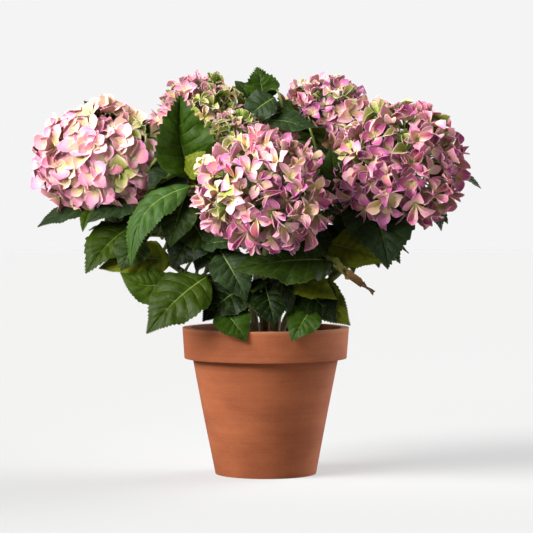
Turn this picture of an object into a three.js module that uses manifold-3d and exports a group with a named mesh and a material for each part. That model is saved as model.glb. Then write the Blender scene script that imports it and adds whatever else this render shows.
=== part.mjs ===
// Potted mophead hydrangea in a clay pot.
// Millimetres, +Z up. The origin is the centre of the pot's underside, and -Y is the plant's front.

import * as THREE from 'three';
import { mergeVertices } from 'three/addons/utils/BufferGeometryUtils.js';
import Module from 'manifold-3d';

const wasm = await Module();
wasm.setup();

// ---- Driving dimensions -------------------------------------------------------------------

const GAP = 0.3; // clearance between solids that rest on each other
const LUMP_GAP = 0.5; // the same along a lump's radius, where its skin may slope

const POT = {
  height: 167,
  baseRadius: 57.5,
  bodyRadius: 83, // where the body meets the underside of the rim band
  rimFootRadius: 92.5,
  rimRadius: 95,
  rimHeight: 35,
  wall: 9,
  floor: 11,
  edge: 3, // rounding of every edge
  sides: 28,
};

const DRAIN = { count: 3, radius: 5, circle: 30, sides: 8 };

const SOIL = { top: 147, drop: 4, flatRadius: 36 }; // the surface falls by drop to the pot's wall

const ROOTSTOCK = { radius: 33, neck: 20, height: 15, sides: 20 };

const CANE = {
  rootRadius: 4.6,
  tipRadius: 2.6,
  sides: 6,
  steps: 8,
  sink: 6, // its root's height above the soil, inside the rootstock
  entry: 0.8, // how far below its head's centre it ends, as a share of the head's radius
  lean: 0.97, // distance of its tip from the axis, as a share of its head's
};

// How a cane arches: shares of its rise and of its spread at its two control points.
const ARCH = { upright: 0.45, outward: 0.1, inward: 0.22, sag: 0.1 };

// A lump's skin, where it names nothing of its own: subdivision, unevenness as a share of its
// radius, and how many degrees round a tip are drawn out towards it.
const LUMP = { detail: 3, relief: 0.14, reach: 38 };
const BLOOM_RELIEF = 0.07; // flower heads are rounder than masses of leaves

// The waves laid across a lump: the first one's pitch, how much closer each next one lies, and
// how much lower.
const WAVES = { count: 5, pitch: 4.4, closer: 2.2, lower: 0.5 };

const ROUGHNESS = { clay: 0.85, soil: 0.95, wood: 0.8, cane: 0.7, crown: 0.6 };

// Flower heads: centre and radii, then the angle and distance from the axis where the cane starts.
const BLOOMS = {
  bloom_front: { centre: [-1, -110, 323], radii: [83, 68, 69], cane: [-90, 25] },
  bloom_left: { centre: [-193, -25, 357], radii: [75, 66, 69], cane: [185, 26] },
  bloom_right: { centre: [147, -45, 351], radii: [76, 70, 74], cane: [-25, 26] },
  bloom_top_left: { centre: [-73, 45, 406], radii: [57, 54, 53], cane: [150, 12] },
  bloom_top_right: { centre: [67, 45, 404], radii: [59, 54, 54], cane: [25, 12] },
  bloom_young: { centre: [-33, -30, 381], radii: [37, 34, 32], cane: [-100, 9], detail: 2 },
  bloom_back_left: { centre: [-115, 122, 342], radii: [70, 66, 66], cane: [135, 27], detail: 2 },
  bloom_back: { centre: [2, 158, 352], radii: [63, 60, 60], cane: [95, 24], detail: 2 },
  bloom_back_right: { centre: [118, 120, 338], radii: [70, 66, 66], cane: [52, 27], detail: 2 },
};

// Masses of leaves: centre, radii, and the leaf tips that the mass reaches out to.
const MASSES = {
  leaves_left: {
    centre: [-168, -36, 262],
    radii: [58, 50, 38],
    tips: [[-257, -40, 282], [-204, -45, 228], [-142, -74, 204]],
  },
  leaves_left_front: {
    centre: [-108, -62, 310],
    radii: [34, 36, 48],
    tips: [[-95, -70, 429], [-147, -78, 251]],
  },
  leaves_low_left: {
    centre: [-92, -70, 196],
    radii: [36, 30, 22],
    tips: [[-129, -90, 167]],
  },
  leaves_inner_left: {
    centre: [-60, -32, 258],
    radii: [40, 36, 42],
    detail: 2,
  },
  leaves_inner_right: {
    centre: [62, -8, 262],
    radii: [38, 38, 44],
    detail: 2,
  },
  leaves_front: {
    centre: [0, -76, 216],
    radii: [66, 38, 50],
    tips: [[73, -100, 236], [-4, -104, 178], [-62, -101, 158]],
  },
  leaves_right_low: {
    centre: [62, -62, 196],
    radii: [38, 34, 26],
    tips: [[94, -52, 171], [58, -98, 158]],
  },
  leaves_right: {
    centre: [118, -48, 266],
    radii: [44, 40, 32],
    tips: [[144, -64, 236], [180, -45, 272]],
  },
  leaves_right_side: {
    centre: [168, 38, 288],
    radii: [52, 46, 34],
    tips: [[245, -10, 325]],
  },
  leaves_top: {
    centre: [-2, 12, 398],
    radii: [36, 28, 34],
    tips: [[-4, 20, 463], [56, -22, 392]],
  },
  leaves_middle: {
    centre: [58, -8, 338],
    radii: [32, 30, 44],
    detail: 2,
  },
  leaves_back_left: {
    centre: [-128, 68, 268],
    radii: [62, 56, 34],
    tips: [[-218, 92, 282], [-150, 150, 240]],
    detail: 2,
  },
  leaves_back: {
    centre: [4, 118, 258],
    radii: [70, 56, 44],
    tips: [[-18, 208, 250], [60, 176, 222]],
    detail: 2,
  },
  leaves_back_right: {
    centre: [108, 88, 254],
    radii: [52, 48, 36],
    tips: [[178, 142, 262]],
    detail: 2,
  },
  leaves_back_low: {
    centre: [6, 66, 194],
    radii: [72, 38, 30],
    tips: [[-66, 104, 160], [74, 98, 158], [-104, 40, 186], [106, 34, 190]],
  },
};

// A spent leaf, rolled up and brown at its tip.
const WITHERED = { centre: [92, -58, 230], radii: [24, 8, 7], tips: [[119, -56, 214]], detail: 1 };

const COLOURS = {
  clay: 0xb9714c,
  soil: 0x3b2a1f,
  wood: 0x7d6a45,
  cane: 0x7f8f4e,
  leaf: 0x48672d,
  bloom: 0xdcaebb,
  bloomYoung: 0xc9cf95,
  withered: 0x8a6a3c,
};

// ---- Solids -------------------------------------------------------------------------------

function solidOf(geometry) {
  const bare = geometry.clone();
  for (const name of ['normal', 'uv']) bare.deleteAttribute(name);
  const merged = mergeVertices(bare, 1e-3);
  return new wasm.Manifold(new wasm.Mesh({
    numProp: 3,
    vertProperties: merged.attributes.position.array,
    triVerts: new Uint32Array(merged.index.array),
  }));
}

function geometryOf(solid) {
  const { vertProperties, triVerts } = solid.getMesh();
  const geometry = new THREE.BufferGeometry();
  geometry.setAttribute('position', new THREE.BufferAttribute(vertProperties, 3));
  geometry.setIndex(new THREE.BufferAttribute(triVerts, 1));
  geometry.computeVertexNormals();
  return geometry;
}

function largest(solid) {
  return solid.decompose().reduce((a, b) => (a.volume() > b.volume() ? a : b));
}

function lowest(solid) {
  return solid.decompose().reduce((a, b) => (a.boundingBox().min[2] < b.boundingBox().min[2] ? a : b));
}

// A cut leaves slivers where two skins nearly agree, so edges below this length are collapsed.
const SHORTEST_EDGE = 0.25;

function cut(solid, others) {
  const rest = others.reduce((left, other) => left.subtract(other), solid);
  return rest.simplify(SHORTEST_EDGE);
}

// ---- Shapes -------------------------------------------------------------------------------

// The same numbers on every run, from 0 to 1.
function randomFrom(seed) {
  let state = seed;
  return () => {
    state = (state * 1664525 + 1013904223) % 4294967296;
    return state / 4294967296;
  };
}

// A smooth, uneven value of about -1 to 1 for each direction: a few waves laid across the sphere.
function unevenness(seed) {
  const random = randomFrom(seed);
  const waves = Array.from({ length: WAVES.count }, (_, i) => ({
    across: new THREE.Vector3(random() - 0.5, random() - 0.5, random() - 0.5)
      .setLength(WAVES.pitch + WAVES.closer * i),
    phase: 2 * Math.PI * random(),
    height: 1 / (1 + WAVES.lower * i),
  }));
  const most = waves.reduce((sum, wave) => sum + wave.height, 0);
  return (direction) => waves.reduce(
    (sum, wave) => sum + wave.height * Math.sin(wave.across.dot(direction) + wave.phase), 0,
  ) / most;
}

// One closed, uneven solid round a centre, drawn out to each tip in turn.
function lump({ centre, radii, tips = [], relief = LUMP.relief, detail = LUMP.detail, seed }, grow = 0) {
  const geometry = new THREE.IcosahedronGeometry(1, detail);
  const position = geometry.attributes.position;
  const middle = new THREE.Vector3(...centre);
  const stretch = new THREE.Vector3(...radii);
  const bumps = unevenness(seed);
  const reach = THREE.MathUtils.degToRad(LUMP.reach);

  const directions = Array.from({ length: position.count }, (_, i) => (
    new THREE.Vector3().fromBufferAttribute(position, i).normalize()
  ));
  const spikes = tips.map((tip) => {
    const target = new THREE.Vector3(...tip);
    const aim = target.clone().sub(middle).divide(stretch).normalize();
    const crest = directions.reduce((a, b) => (a.dot(aim) > b.dot(aim) ? a : b));
    return { target, crest };
  });

  directions.forEach((direction, i) => {
    const swell = 1 + relief * bumps(direction);
    const point = direction.clone().multiply(stretch).multiplyScalar(swell).add(middle);
    for (const { target, crest } of spikes) {
      const pull = Math.max(0, 1 - direction.angleTo(crest) / reach);
      point.lerp(target, pull * pull);
    }
    point.addScaledVector(point.clone().sub(middle).normalize(), grow);
    position.setXYZ(i, point.x, point.y, point.z);
  });
  return solidOf(geometry);
}

// One round limb along a curve, tapering evenly from its root to its tip.
function limb(path, { rootRadius, tipRadius, sides, steps }, grow = 0) {
  const frames = path.computeFrenetFrames(steps, false);
  const positions = [];
  const index = [];
  for (let i = 0; i <= steps; i++) {
    const centre = path.getPoint(i / steps);
    const radius = THREE.MathUtils.lerp(rootRadius, tipRadius, i / steps) + grow;
    for (let k = 0; k < sides; k++) {
      const angle = 2 * Math.PI * k / sides;
      const point = centre.clone()
        .addScaledVector(frames.normals[i], radius * Math.cos(angle))
        .addScaledVector(frames.binormals[i], radius * Math.sin(angle));
      positions.push(point.x, point.y, point.z);
    }
  }
  for (let i = 0; i < steps; i++) {
    for (let k = 0; k < sides; k++) {
      const a = i * sides + k;
      const b = i * sides + (k + 1) % sides;
      index.push(a, b, b + sides, a, b + sides, a + sides);
    }
  }
  for (let k = 1; k < sides - 1; k++) {
    const last = steps * sides;
    index.push(0, k + 1, k, last, last + k, last + k + 1);
  }
  const geometry = new THREE.BufferGeometry();
  geometry.setAttribute('position', new THREE.Float32BufferAttribute(positions, 3));
  geometry.setIndex(index);
  return solidOf(geometry);
}

// A path of radius and height, turned round the Z axis.
function turned(path, sides) {
  return solidOf(new THREE.LatheGeometry(path.getPoints(2), sides).rotateX(Math.PI / 2));
}

// Outer radius of the pot's body at a height, and of the space inside it.
function bodyRadiusAt(z) {
  return THREE.MathUtils.mapLinear(z, 0, POT.height - POT.rimHeight, POT.baseRadius, POT.bodyRadius);
}

function insideRadiusAt(z) {
  return bodyRadiusAt(z) - POT.wall;
}

function pot(grow = 0) {
  const { height, baseRadius, bodyRadius, rimFootRadius, rimRadius, rimHeight, wall, floor, edge } = POT;
  const foot = baseRadius + grow;
  const rimFoot = height - rimHeight;
  const top = height + grow;
  const rim = rimRadius + grow;
  const path = new THREE.Path();
  path.moveTo(0, -grow);
  path.lineTo(foot - edge, -grow);
  path.quadraticCurveTo(foot, -grow, bodyRadiusAt(edge) + grow, edge);
  path.lineTo(bodyRadius + grow, rimFoot - grow);
  path.lineTo(rimFootRadius + grow - edge, rimFoot - grow);
  path.quadraticCurveTo(rimFootRadius + grow, rimFoot - grow, rimFootRadius + grow, rimFoot + edge);
  path.lineTo(rim, top - edge);
  path.quadraticCurveTo(rim, top, rim - edge, top);
  path.lineTo(rim - wall + edge - 2 * grow, top);
  path.quadraticCurveTo(rimRadius - wall - grow, top, rimRadius - wall - grow, top - edge);
  path.lineTo(insideRadiusAt(rimFoot) - grow, rimFoot);
  path.lineTo(insideRadiusAt(floor) - grow, floor + grow);
  path.lineTo(0, floor + grow);
  return turned(path, POT.sides);
}

function drains() {
  return Array.from({ length: DRAIN.count }, (_, i) => {
    const angle = 2 * Math.PI * i / DRAIN.count;
    const hole = new THREE.CylinderGeometry(DRAIN.radius, DRAIN.radius, 3 * POT.floor, DRAIN.sides);
    hole.rotateX(Math.PI / 2);
    hole.translate(DRAIN.circle * Math.cos(angle), DRAIN.circle * Math.sin(angle), 0);
    return solidOf(hole);
  });
}

function soil() {
  const bottom = POT.floor + GAP;
  const brim = SOIL.top - SOIL.drop;
  const path = new THREE.Path();
  path.moveTo(0, bottom);
  path.lineTo(insideRadiusAt(bottom) - 2 * GAP, bottom);
  path.lineTo(insideRadiusAt(POT.height - POT.rimHeight) - 2 * GAP, POT.height - POT.rimHeight);
  path.lineTo(insideRadiusAt(brim) - 2 * GAP, brim);
  path.lineTo(SOIL.flatRadius, SOIL.top);
  path.lineTo(0, SOIL.top);
  return turned(path, POT.sides);
}

// The woody crown at soil level that every cane springs from.
function rootstock(grow = 0) {
  const bottom = SOIL.top + GAP - grow;
  const top = SOIL.top + GAP + ROOTSTOCK.height + grow;
  const radius = ROOTSTOCK.radius + grow;
  const path = new THREE.Path();
  path.moveTo(0, bottom);
  path.lineTo(radius, bottom);
  path.quadraticCurveTo(radius, bottom + ROOTSTOCK.height / 2, ROOTSTOCK.neck + grow, top);
  path.lineTo(0, top);
  return turned(path, ROOTSTOCK.sides);
}

// A cane leaves the rootstock upright and arches over to the underside of its flower head.
function canePath({ centre, radii, cane: [angle, distance] }) {
  const [x, y, z] = centre;
  const turn = THREE.MathUtils.degToRad(angle);
  const foot = SOIL.top + CANE.sink;
  const root = new THREE.Vector3(distance * Math.cos(turn), distance * Math.sin(turn), foot);
  const tip = new THREE.Vector3(x * CANE.lean, y * CANE.lean, z - CANE.entry * radii[2]);
  const up = new THREE.Vector3(0, 0, tip.z - foot);
  const below = new THREE.Vector3(x, y, foot);
  const first = root.clone().addScaledVector(up, ARCH.upright).lerp(below, ARCH.outward);
  const second = tip.clone().lerp(root, ARCH.inward).addScaledVector(up, -ARCH.sag);
  return new THREE.CubicBezierCurve3(root, first, second, tip);
}

// ---- The plant ----------------------------------------------------------------------------

function meshOf(name, solid, colour, roughness) {
  const material = new THREE.MeshStandardMaterial({ color: colour, roughness, metalness: 0 });
  const mesh = new THREE.Mesh(geometryOf(solid), material);
  mesh.name = name;
  return mesh;
}

const plant = new THREE.Group();
plant.add(meshOf('pot', cut(pot(), drains()), COLOURS.clay, ROUGHNESS.clay));
plant.add(meshOf('soil', soil(), COLOURS.soil, ROUGHNESS.soil));
plant.add(meshOf('rootstock', rootstock(), COLOURS.wood, ROUGHNESS.wood));

// Flower heads come first, then the leaves between them: each solid is cut by those before it.
const taken = [pot(GAP), rootstock(GAP)];
const crown = [
  ...Object.entries(BLOOMS).map(([name, head]) => ({
    name,
    shape: { relief: BLOOM_RELIEF, ...head },
    colour: name === 'bloom_young' ? COLOURS.bloomYoung : COLOURS.bloom,
  })),
  { name: 'withered_leaf', shape: WITHERED, colour: COLOURS.withered },
  ...Object.entries(MASSES).map(([name, shape]) => ({ name, shape, colour: COLOURS.leaf })),
];

crown.forEach(({ name, shape, colour }, i) => {
  const seeded = { ...shape, seed: 11 + 7 * i };
  plant.add(meshOf(name, largest(cut(lump(seeded), taken)), colour, ROUGHNESS.crown));
  taken.push(lump(seeded, LUMP_GAP));
});

// Canes stand between them, each from the rootstock to the first mass that it enters.
const canes = new THREE.Group();
plant.add(canes);
for (const [name, head] of Object.entries(BLOOMS)) {
  const path = canePath(head);
  const stem = lowest(cut(limb(path, CANE), taken));
  canes.add(meshOf(name.replace('bloom', 'cane'), stem, COLOURS.cane, ROUGHNESS.cane));
  taken.push(limb(path, CANE, GAP));
}

export default plant;
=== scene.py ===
"""A mophead hydrangea in a clay pot, modelled round its CAD frame.

Metres, +Z up, the origin at the centre of the pot's underside and -Y the plant's front.
"""

import math

import bpy
import numpy as np
from bpy.props import FloatProperty, FloatVectorProperty, IntProperty, PointerProperty
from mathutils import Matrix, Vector


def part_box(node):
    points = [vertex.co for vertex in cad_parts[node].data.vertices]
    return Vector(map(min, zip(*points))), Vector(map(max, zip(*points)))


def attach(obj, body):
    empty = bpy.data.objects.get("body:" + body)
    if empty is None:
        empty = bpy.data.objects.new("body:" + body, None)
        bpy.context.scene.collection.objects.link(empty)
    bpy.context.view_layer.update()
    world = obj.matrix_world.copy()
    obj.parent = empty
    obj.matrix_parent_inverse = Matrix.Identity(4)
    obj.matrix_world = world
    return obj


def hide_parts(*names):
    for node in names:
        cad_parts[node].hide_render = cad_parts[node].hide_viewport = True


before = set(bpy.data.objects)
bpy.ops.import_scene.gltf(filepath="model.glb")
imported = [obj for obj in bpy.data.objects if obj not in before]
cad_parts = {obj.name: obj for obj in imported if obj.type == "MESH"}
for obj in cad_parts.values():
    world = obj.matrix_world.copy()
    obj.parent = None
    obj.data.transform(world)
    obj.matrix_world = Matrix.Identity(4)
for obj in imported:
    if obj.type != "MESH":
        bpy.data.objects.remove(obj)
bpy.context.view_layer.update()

bl_info = {
    "name": "Potted Hydrangea",
    "version": (1, 0, 0),
    "blender": (4, 5, 0),
    "location": "3D View > Sidebar > Hydrangea",
    "description": "Builds a mophead hydrangea in a clay pot, with its studio",
    "category": "Add Mesh",
}

MM = 0.001


# ---- Colours and settings -----------------------------------------------------------------


def linear(hex_colour):
    """An sRGB hex colour as the linear values that the shaders take."""
    parts = [int(hex_colour[i : i + 2], 16) / 255 for i in (1, 3, 5)]
    return tuple(c / 12.92 if c <= 0.04045 else ((c + 0.055) / 1.055) ** 2.4 for c in parts)


def shade(name, hex_colour):
    """A colour setting whose default is an sRGB hex value."""
    return FloatVectorProperty(
        name=name,
        description=f"{name} in daylight",
        subtype="COLOR",
        size=3,
        min=0,
        max=1,
        default=linear(hex_colour),
    )


def length(name, description, millimetres):
    """A length setting given in millimetres."""
    return FloatProperty(
        name=name, description=description, unit="LENGTH", min=0, default=millimetres * MM
    )


def share(name, description, value):
    """A setting from 0 to 1."""
    return FloatProperty(
        name=name, description=description, subtype="FACTOR", min=0, max=1, default=value
    )


def brightness(name, description, value):
    """A lamp's strength."""
    return FloatProperty(name=name, description=description, min=0, default=value)


class ClayPotSettings(bpy.types.PropertyGroup):
    """Sizes that the CAD pot fixes come from its node; these are the ones it leaves free."""

    wall: length("Wall", "Thickness of the pot's wall", 9)
    rim_height: length("Rim height", "Height of the thick band below the lip", 35)
    edge: length("Edge rounding", "Rounding of the lip, rim and foot", 2.6)
    wobble: length("Wobble", "How far the thrown wall strays from a true circle", 0.5)
    clay: shade("Fired clay", "#9E5733")
    scorched: shade("Darker clay", "#874526")
    bloom: shade("Lime bloom", "#B1805F")


class PottingMixSettings(bpy.types.PropertyGroup):
    """The surface of the potting mix."""

    crumbs: IntProperty(name="Crumbs", description="Loose bits of bark and grit", min=0, default=420)
    peat: shade("Peat", "#281C13")
    bark: shade("Bark", "#492E1C")
    grit: shade("Grit", "#978E7F")


class CaneSettings(bpy.types.PropertyGroup):
    """Canes, from the rootstock up to the flower heads."""

    root_radius: length("Root radius", "Radius where a cane leaves the rootstock", 4.6)
    tip_radius: length("Tip radius", "Radius under the flower head", 2.5)
    joint_swelling: share("Joint swelling", "How far a leaf joint stands proud of the cane", 0.35)
    young_wood: shade("Young wood", "#5F6F31")
    old_wood: shade("Old wood", "#5D452B")
    petiole: shade("Leaf stalk", "#6A7D35")


class LeafSettings(bpy.types.PropertyGroup):
    """Leaf blades: toothed, quilted between the side veins, paler underneath."""

    thickness: length("Thickness", "Thickness of a blade", 0.5)
    quilting: share("Quilting", "Height of the blade between veins, as a share of its length", 0.018)
    silvery: shade("Silvery leaf", "#314B1D")
    # Painted shade: the deep green is near black, for leaves that sit in the shade under and between the
    # heads.
    deep: shade("Deep green leaf", "#091602")
    mature: shade("Mature leaf", "#1E2E06")
    light: shade("Light leaf", "#314507")
    bluish: shade("Bluish leaf", "#202F19")
    olive: shade("Olive leaf", "#273703")
    fresh: shade("Fresh leaf", "#263D05")
    # The turning tint is a yellowing leaf's own colour lightened further as painted light, standing in
    # for light that shines through leaves that sit in shade.
    turning: shade("Turning leaf", "#5B6311")
    under: shade("Underside", "#415219")
    vein: shade("Vein", "#596C31")


# Each tint of sepal, from its heart through its body to its edge.
SEPAL_PARTS = ("heart", "body", "edge")
SEPALS = {
    "green": ("#536A1D", "#5A6F20", "#9EA255"),
    "lime": ("#84972C", "#98A246", "#D8BBA4"),
    "cream": ("#D0D16A", "#DCC499", "#F0B3B9"),
    "pale": ("#ECE39B", "#E3B6B3", "#E99DB9"),
    "dusky": ("#9C934A", "#AA7F75", "#C47A9C"),
    "pink": ("#DDDA95", "#EBACB8", "#D970A0"),
    "mauve": ("#C8B985", "#BB7199", "#A0437E"),
    "deep": ("#C7B57E", "#B55F86", "#9D3374"),
}


class FlowerSettings(bpy.types.PropertyGroup):
    """Flower heads, and each tint of their sepals from the heart out to the edge."""

    sepal: length("Sepal", "Length of one full-grown sepal", 22.5)
    thickness: length("Sepal thickness", "Thickness of one sepal", 0.4)
    bud: shade("Bud", "#C9C98A")
    stalk: shade("Flower stalk", "#A3AE66")

    for tint, hex_colours in SEPALS.items():
        for part, hex_colour in zip(SEPAL_PARTS, hex_colours):
            __annotations__[f"{tint}_{part}"] = shade(f"{tint.capitalize()}, {part}", hex_colour)
    del tint, hex_colours, part, hex_colour


class StudioSettings(bpy.types.PropertyGroup):
    """A pale sweep, a large soft lamp and a near softbox on the left, and a return on the right."""

    backdrop: share("Backdrop", "Brightness of the backdrop and the unshaded floor", 0.905)
    front_room: share("Front of the room", "Light from the dark side of the room", 0.12)
    back_room: share("Back of the room", "Light from the pale side of the room", 0.75)
    key: brightness("Key", "Strength of the main lamp", 4.7)
    fill: brightness("Fill", "Strength of the return", 3.5)
    softbox: brightness("Softbox", "Watts of the lamp near the crown", 1.1)


# ---- Meshes from arrays -------------------------------------------------------------------


class Pile:
    """Four-cornered faces gathered up into one joined mesh."""

    def __init__(self):
        self.points = []
        self.quads = []
        self.maps = []
        self.slots = []
        self.count = 0

    def add(self, points, quads, maps=None, slots=0):
        """Adds points (n, 3), quads (m, 4), map places (m, 4, 2) and material numbers."""
        self.points.append(np.asarray(points, float).reshape(-1, 3))
        self.quads.append(np.asarray(quads, int).reshape(-1, 4) + self.count)
        faces = len(self.quads[-1])
        self.maps.append(np.zeros((faces, 4, 2)) if maps is None else maps.reshape(faces, 4, 2))
        self.slots.append(np.broadcast_to(np.asarray(slots, int), faces))
        self.count += len(self.points[-1])

    def piece(self, name, materials, mapped=False, sharp=50):
        """The mesh as an object, smooth except where it turns by more than sharp degrees."""
        points = np.concatenate(self.points)
        quads = np.concatenate(self.quads)
        mesh = bpy.data.meshes.new(name)
        mesh.vertices.add(len(points))
        mesh.vertices.foreach_set("co", points.ravel())
        mesh.loops.add(quads.size)
        mesh.loops.foreach_set("vertex_index", quads.ravel())
        mesh.polygons.add(len(quads))
        mesh.polygons.foreach_set("loop_start", np.arange(0, quads.size, 4))
        mesh.polygons.foreach_set("material_index", np.concatenate(self.slots))
        mesh.update(calc_edges=True)
        if mapped:
            # The export bakes through a map of this name, so every blade keeps crisp veins.
            layer = mesh.uv_layers.new(name="OFBake")
            layer.data.foreach_set("uv", np.concatenate(self.maps).ravel())
        mesh.validate()
        for material in materials:
            mesh.materials.append(material)
        piece = bpy.data.objects.new(name, mesh)
        bpy.context.collection.objects.link(piece)
        pick(piece)
        bpy.ops.object.shade_smooth_by_angle(angle=math.radians(sharp))
        return piece


def pick(piece):
    """Selects one object alone and makes it the active one."""
    bpy.ops.object.select_all(action="DESELECT")
    piece.select_set(True)
    bpy.context.view_layer.objects.active = piece


def unit(vectors):
    """Vectors scaled to length 1."""
    vectors = np.asarray(vectors, float)
    return vectors / np.maximum(np.linalg.norm(vectors, axis=-1, keepdims=True), 1e-12)


def blend(a, b, amount):
    """A value between a and b."""
    return a + (b - a) * amount


class Tiles:
    """A grid of tiles in a unit square, one for each material that shares a map."""

    GUTTER = 0.04

    def __init__(self, columns, rows):
        self.columns = columns
        self.rows = rows

    def corner(self, tile):
        """Lowest corner and size of the part of a tile that is used."""
        width, height = 1 / self.columns, 1 / self.rows
        column, row = tile % self.columns, tile // self.columns
        gutter = np.array([width, height]) * self.GUTTER
        low = np.stack([column * width, row * height], -1) + gutter
        return low, np.array([width, height]) - 2 * gutter

    def place(self, tile, across, along):
        """Where a spot given across (-1 to 1) and along (0 to 1) a blade lies in its tile."""
        low, size = self.corner(np.asarray(tile))
        spot = np.stack(np.broadcast_arrays((across + 1) / 2, along), -1)
        return low + spot * size


def grid_faces(rows, columns):
    """Quads of a sheet of rows by columns, and the ring of its border, both anticlockwise."""
    number = np.arange((rows + 1) * (columns + 1)).reshape(rows + 1, columns + 1)
    quads = np.stack(
        [number[:-1, :-1], number[:-1, 1:], number[1:, 1:], number[1:, :-1]], -1
    ).reshape(-1, 4)
    border = np.concatenate(
        [number[0, :-1], number[:-1, -1], number[-1, :0:-1], number[:0:-1, 0]]
    )
    return quads, border


def ring_faces(rings, sides):
    """Quads of the walls between closed rings of points, each ring after the one before."""
    number = np.arange(rings * sides).reshape(rings, sides)
    after = np.roll(number, -1, axis=1)
    return np.stack([number[:-1], after[:-1], after[1:], number[1:]], -1).reshape(-1, 4)


def arc(start, middle, end, steps):
    """Points of a curve from start to end that bends towards its middle point."""
    return (1 - steps) ** 2 * start + 2 * steps * (1 - steps) * middle + steps**2 * end


def add_sheets(pile, grids, across, along, thickness, tiles, upper, lower):
    """Adds closed thin sheets of one layout.

    grids is (sheets, rows + 1, columns + 1, 3); upper and lower are each sheet's tile, which is
    also its material, on the two faces. The cut edge takes the upper face's colour.
    """
    count, rows, columns = grids.shape[0], grids.shape[1] - 1, grids.shape[2] - 1
    side = np.gradient(grids, axis=2)
    forward = np.gradient(grids, axis=1)
    normal = unit(np.cross(side, forward))
    thickness = np.broadcast_to(thickness, count).reshape(-1, 1, 1, 1)
    each = (rows + 1) * (columns + 1)
    points = np.stack([grids, grids - normal * thickness], 1).reshape(count, 2 * each, 3)

    quads, border = grid_faces(rows, columns)
    after = np.roll(border, -1)
    edge = np.stack([after, border, border + each, after + each], -1)
    # Both faces are cut along the same diagonals, so that neither comes through the other.
    turned = quads[:, [0, 3, 2, 1]]
    layout = np.concatenate([quads, turned + each, edge])
    start = np.arange(count).reshape(-1, 1, 1) * 2 * each

    across = np.broadcast_to(across, (rows + 1, columns + 1)).ravel()
    along = np.broadcast_to(along, (rows + 1, columns + 1)).ravel()
    # The cut edge is mapped on to a strip just inside the border.
    inner = 0.9
    near = np.stack([across * inner, blend(0.5, along, inner)])
    upper = np.broadcast_to(upper, count)
    lower = np.broadcast_to(lower, count)
    maps = []
    for tile_up, tile_down in zip(upper, lower):
        up = tiles.place(tile_up, across, along)
        down = tiles.place(tile_down, across, along)
        cut = tiles.place(tile_up, near[0], near[1])
        rim = np.stack([up[after], up[border], cut[border], cut[after]], 1)
        maps.append(np.concatenate([up[quads], down[turned], rim]))
    slots = np.concatenate(
        [
            np.repeat(upper[:, None], len(quads), 1),
            np.repeat(lower[:, None], len(quads), 1),
            np.repeat(upper[:, None], len(edge), 1),
        ],
        1,
    )
    pile.add(points, layout + start, np.stack(maps), slots.ravel())


def carried_frames(path):
    """Directions along a path, and two across it that don't spin round it."""
    tangent = unit(np.gradient(path, axis=0))
    first = np.cross(tangent[0], [0.0, 0.0, 1.0])
    upright = np.linalg.norm(first) < 0.1
    if upright:
        first = np.cross(tangent[0], [1.0, 0.0, 0.0])
    normals = [unit(first)]
    for direction in tangent[1:]:
        carried = normals[-1] - direction * np.dot(normals[-1], direction)
        normals.append(unit(carried))
    normals = np.array(normals)
    return tangent, normals, np.cross(tangent, normals)


def add_tube(pile, path, radii, sides, slot=0):
    """Adds a closed round tube along a path, with a radius for each of its points."""
    path = np.asarray(path, float)
    _, normal, binormal = carried_frames(path)
    turn = np.linspace(0, 2 * np.pi, sides, endpoint=False)
    ring = np.cos(turn)[:, None] * normal[:, None] + np.sin(turn)[:, None] * binormal[:, None]
    radii = np.broadcast_to(radii, (len(path),) if np.ndim(radii) < 2 else (len(path), sides))
    radii = radii.reshape(len(path), -1, 1)
    points = path[:, None] + ring * radii
    k = np.arange(sides // 2 - 1)
    cap = np.stack([k, k + 1, sides - 2 - k, sides - 1 - k], -1)
    last = (len(path) - 1) * sides
    quads = np.concatenate([ring_faces(len(path), sides), cap[:, ::-1], cap + last])
    pile.add(points, quads, None, slot)


# ---- Materials ----------------------------------------------------------------------------


def node(tree, kind, inputs=(), out=0, stops=(), **settings):
    """Adds a node with its settings, values and links, and gives back one of its outputs.

    inputs go to the node's sockets in order, or by name or number where they are a dictionary.
    """
    made = tree.nodes.new("ShaderNode" + kind)
    for name, value in settings.items():
        setattr(made, name, value)
    for key, value in inputs.items() if isinstance(inputs, dict) else enumerate(inputs):
        if isinstance(value, bpy.types.NodeSocket):
            tree.links.new(value, made.inputs[key])
        elif made.inputs[key].type == "RGBA":
            made.inputs[key].default_value = (*value, 1)
        else:
            made.inputs[key].default_value = value
    for position, colour in stops[2:]:
        made.color_ramp.elements.new(position)
    for number, (position, colour) in enumerate(stops):
        made.color_ramp.elements[number].position = position
        made.color_ramp.elements[number].color = (*colour, 1)
    return made.outputs[out]


def material(name, **sockets):
    """A new material with its shader's plain values set, its node tree and its shader's inputs.

    A socket's name is written with _ for each space.
    """
    made = bpy.data.materials.new(name)
    made.use_nodes = True
    shader = made.node_tree.nodes["Principled BSDF"].inputs
    for socket, value in sockets.items():
        shader[socket.replace("_", " ")].default_value = value
    return made, made.node_tree, shader


RGBA = {"data_type": "RGBA", "out": 2}  # a mix of colours: amount in 0, colours in 6 and 7


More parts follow.
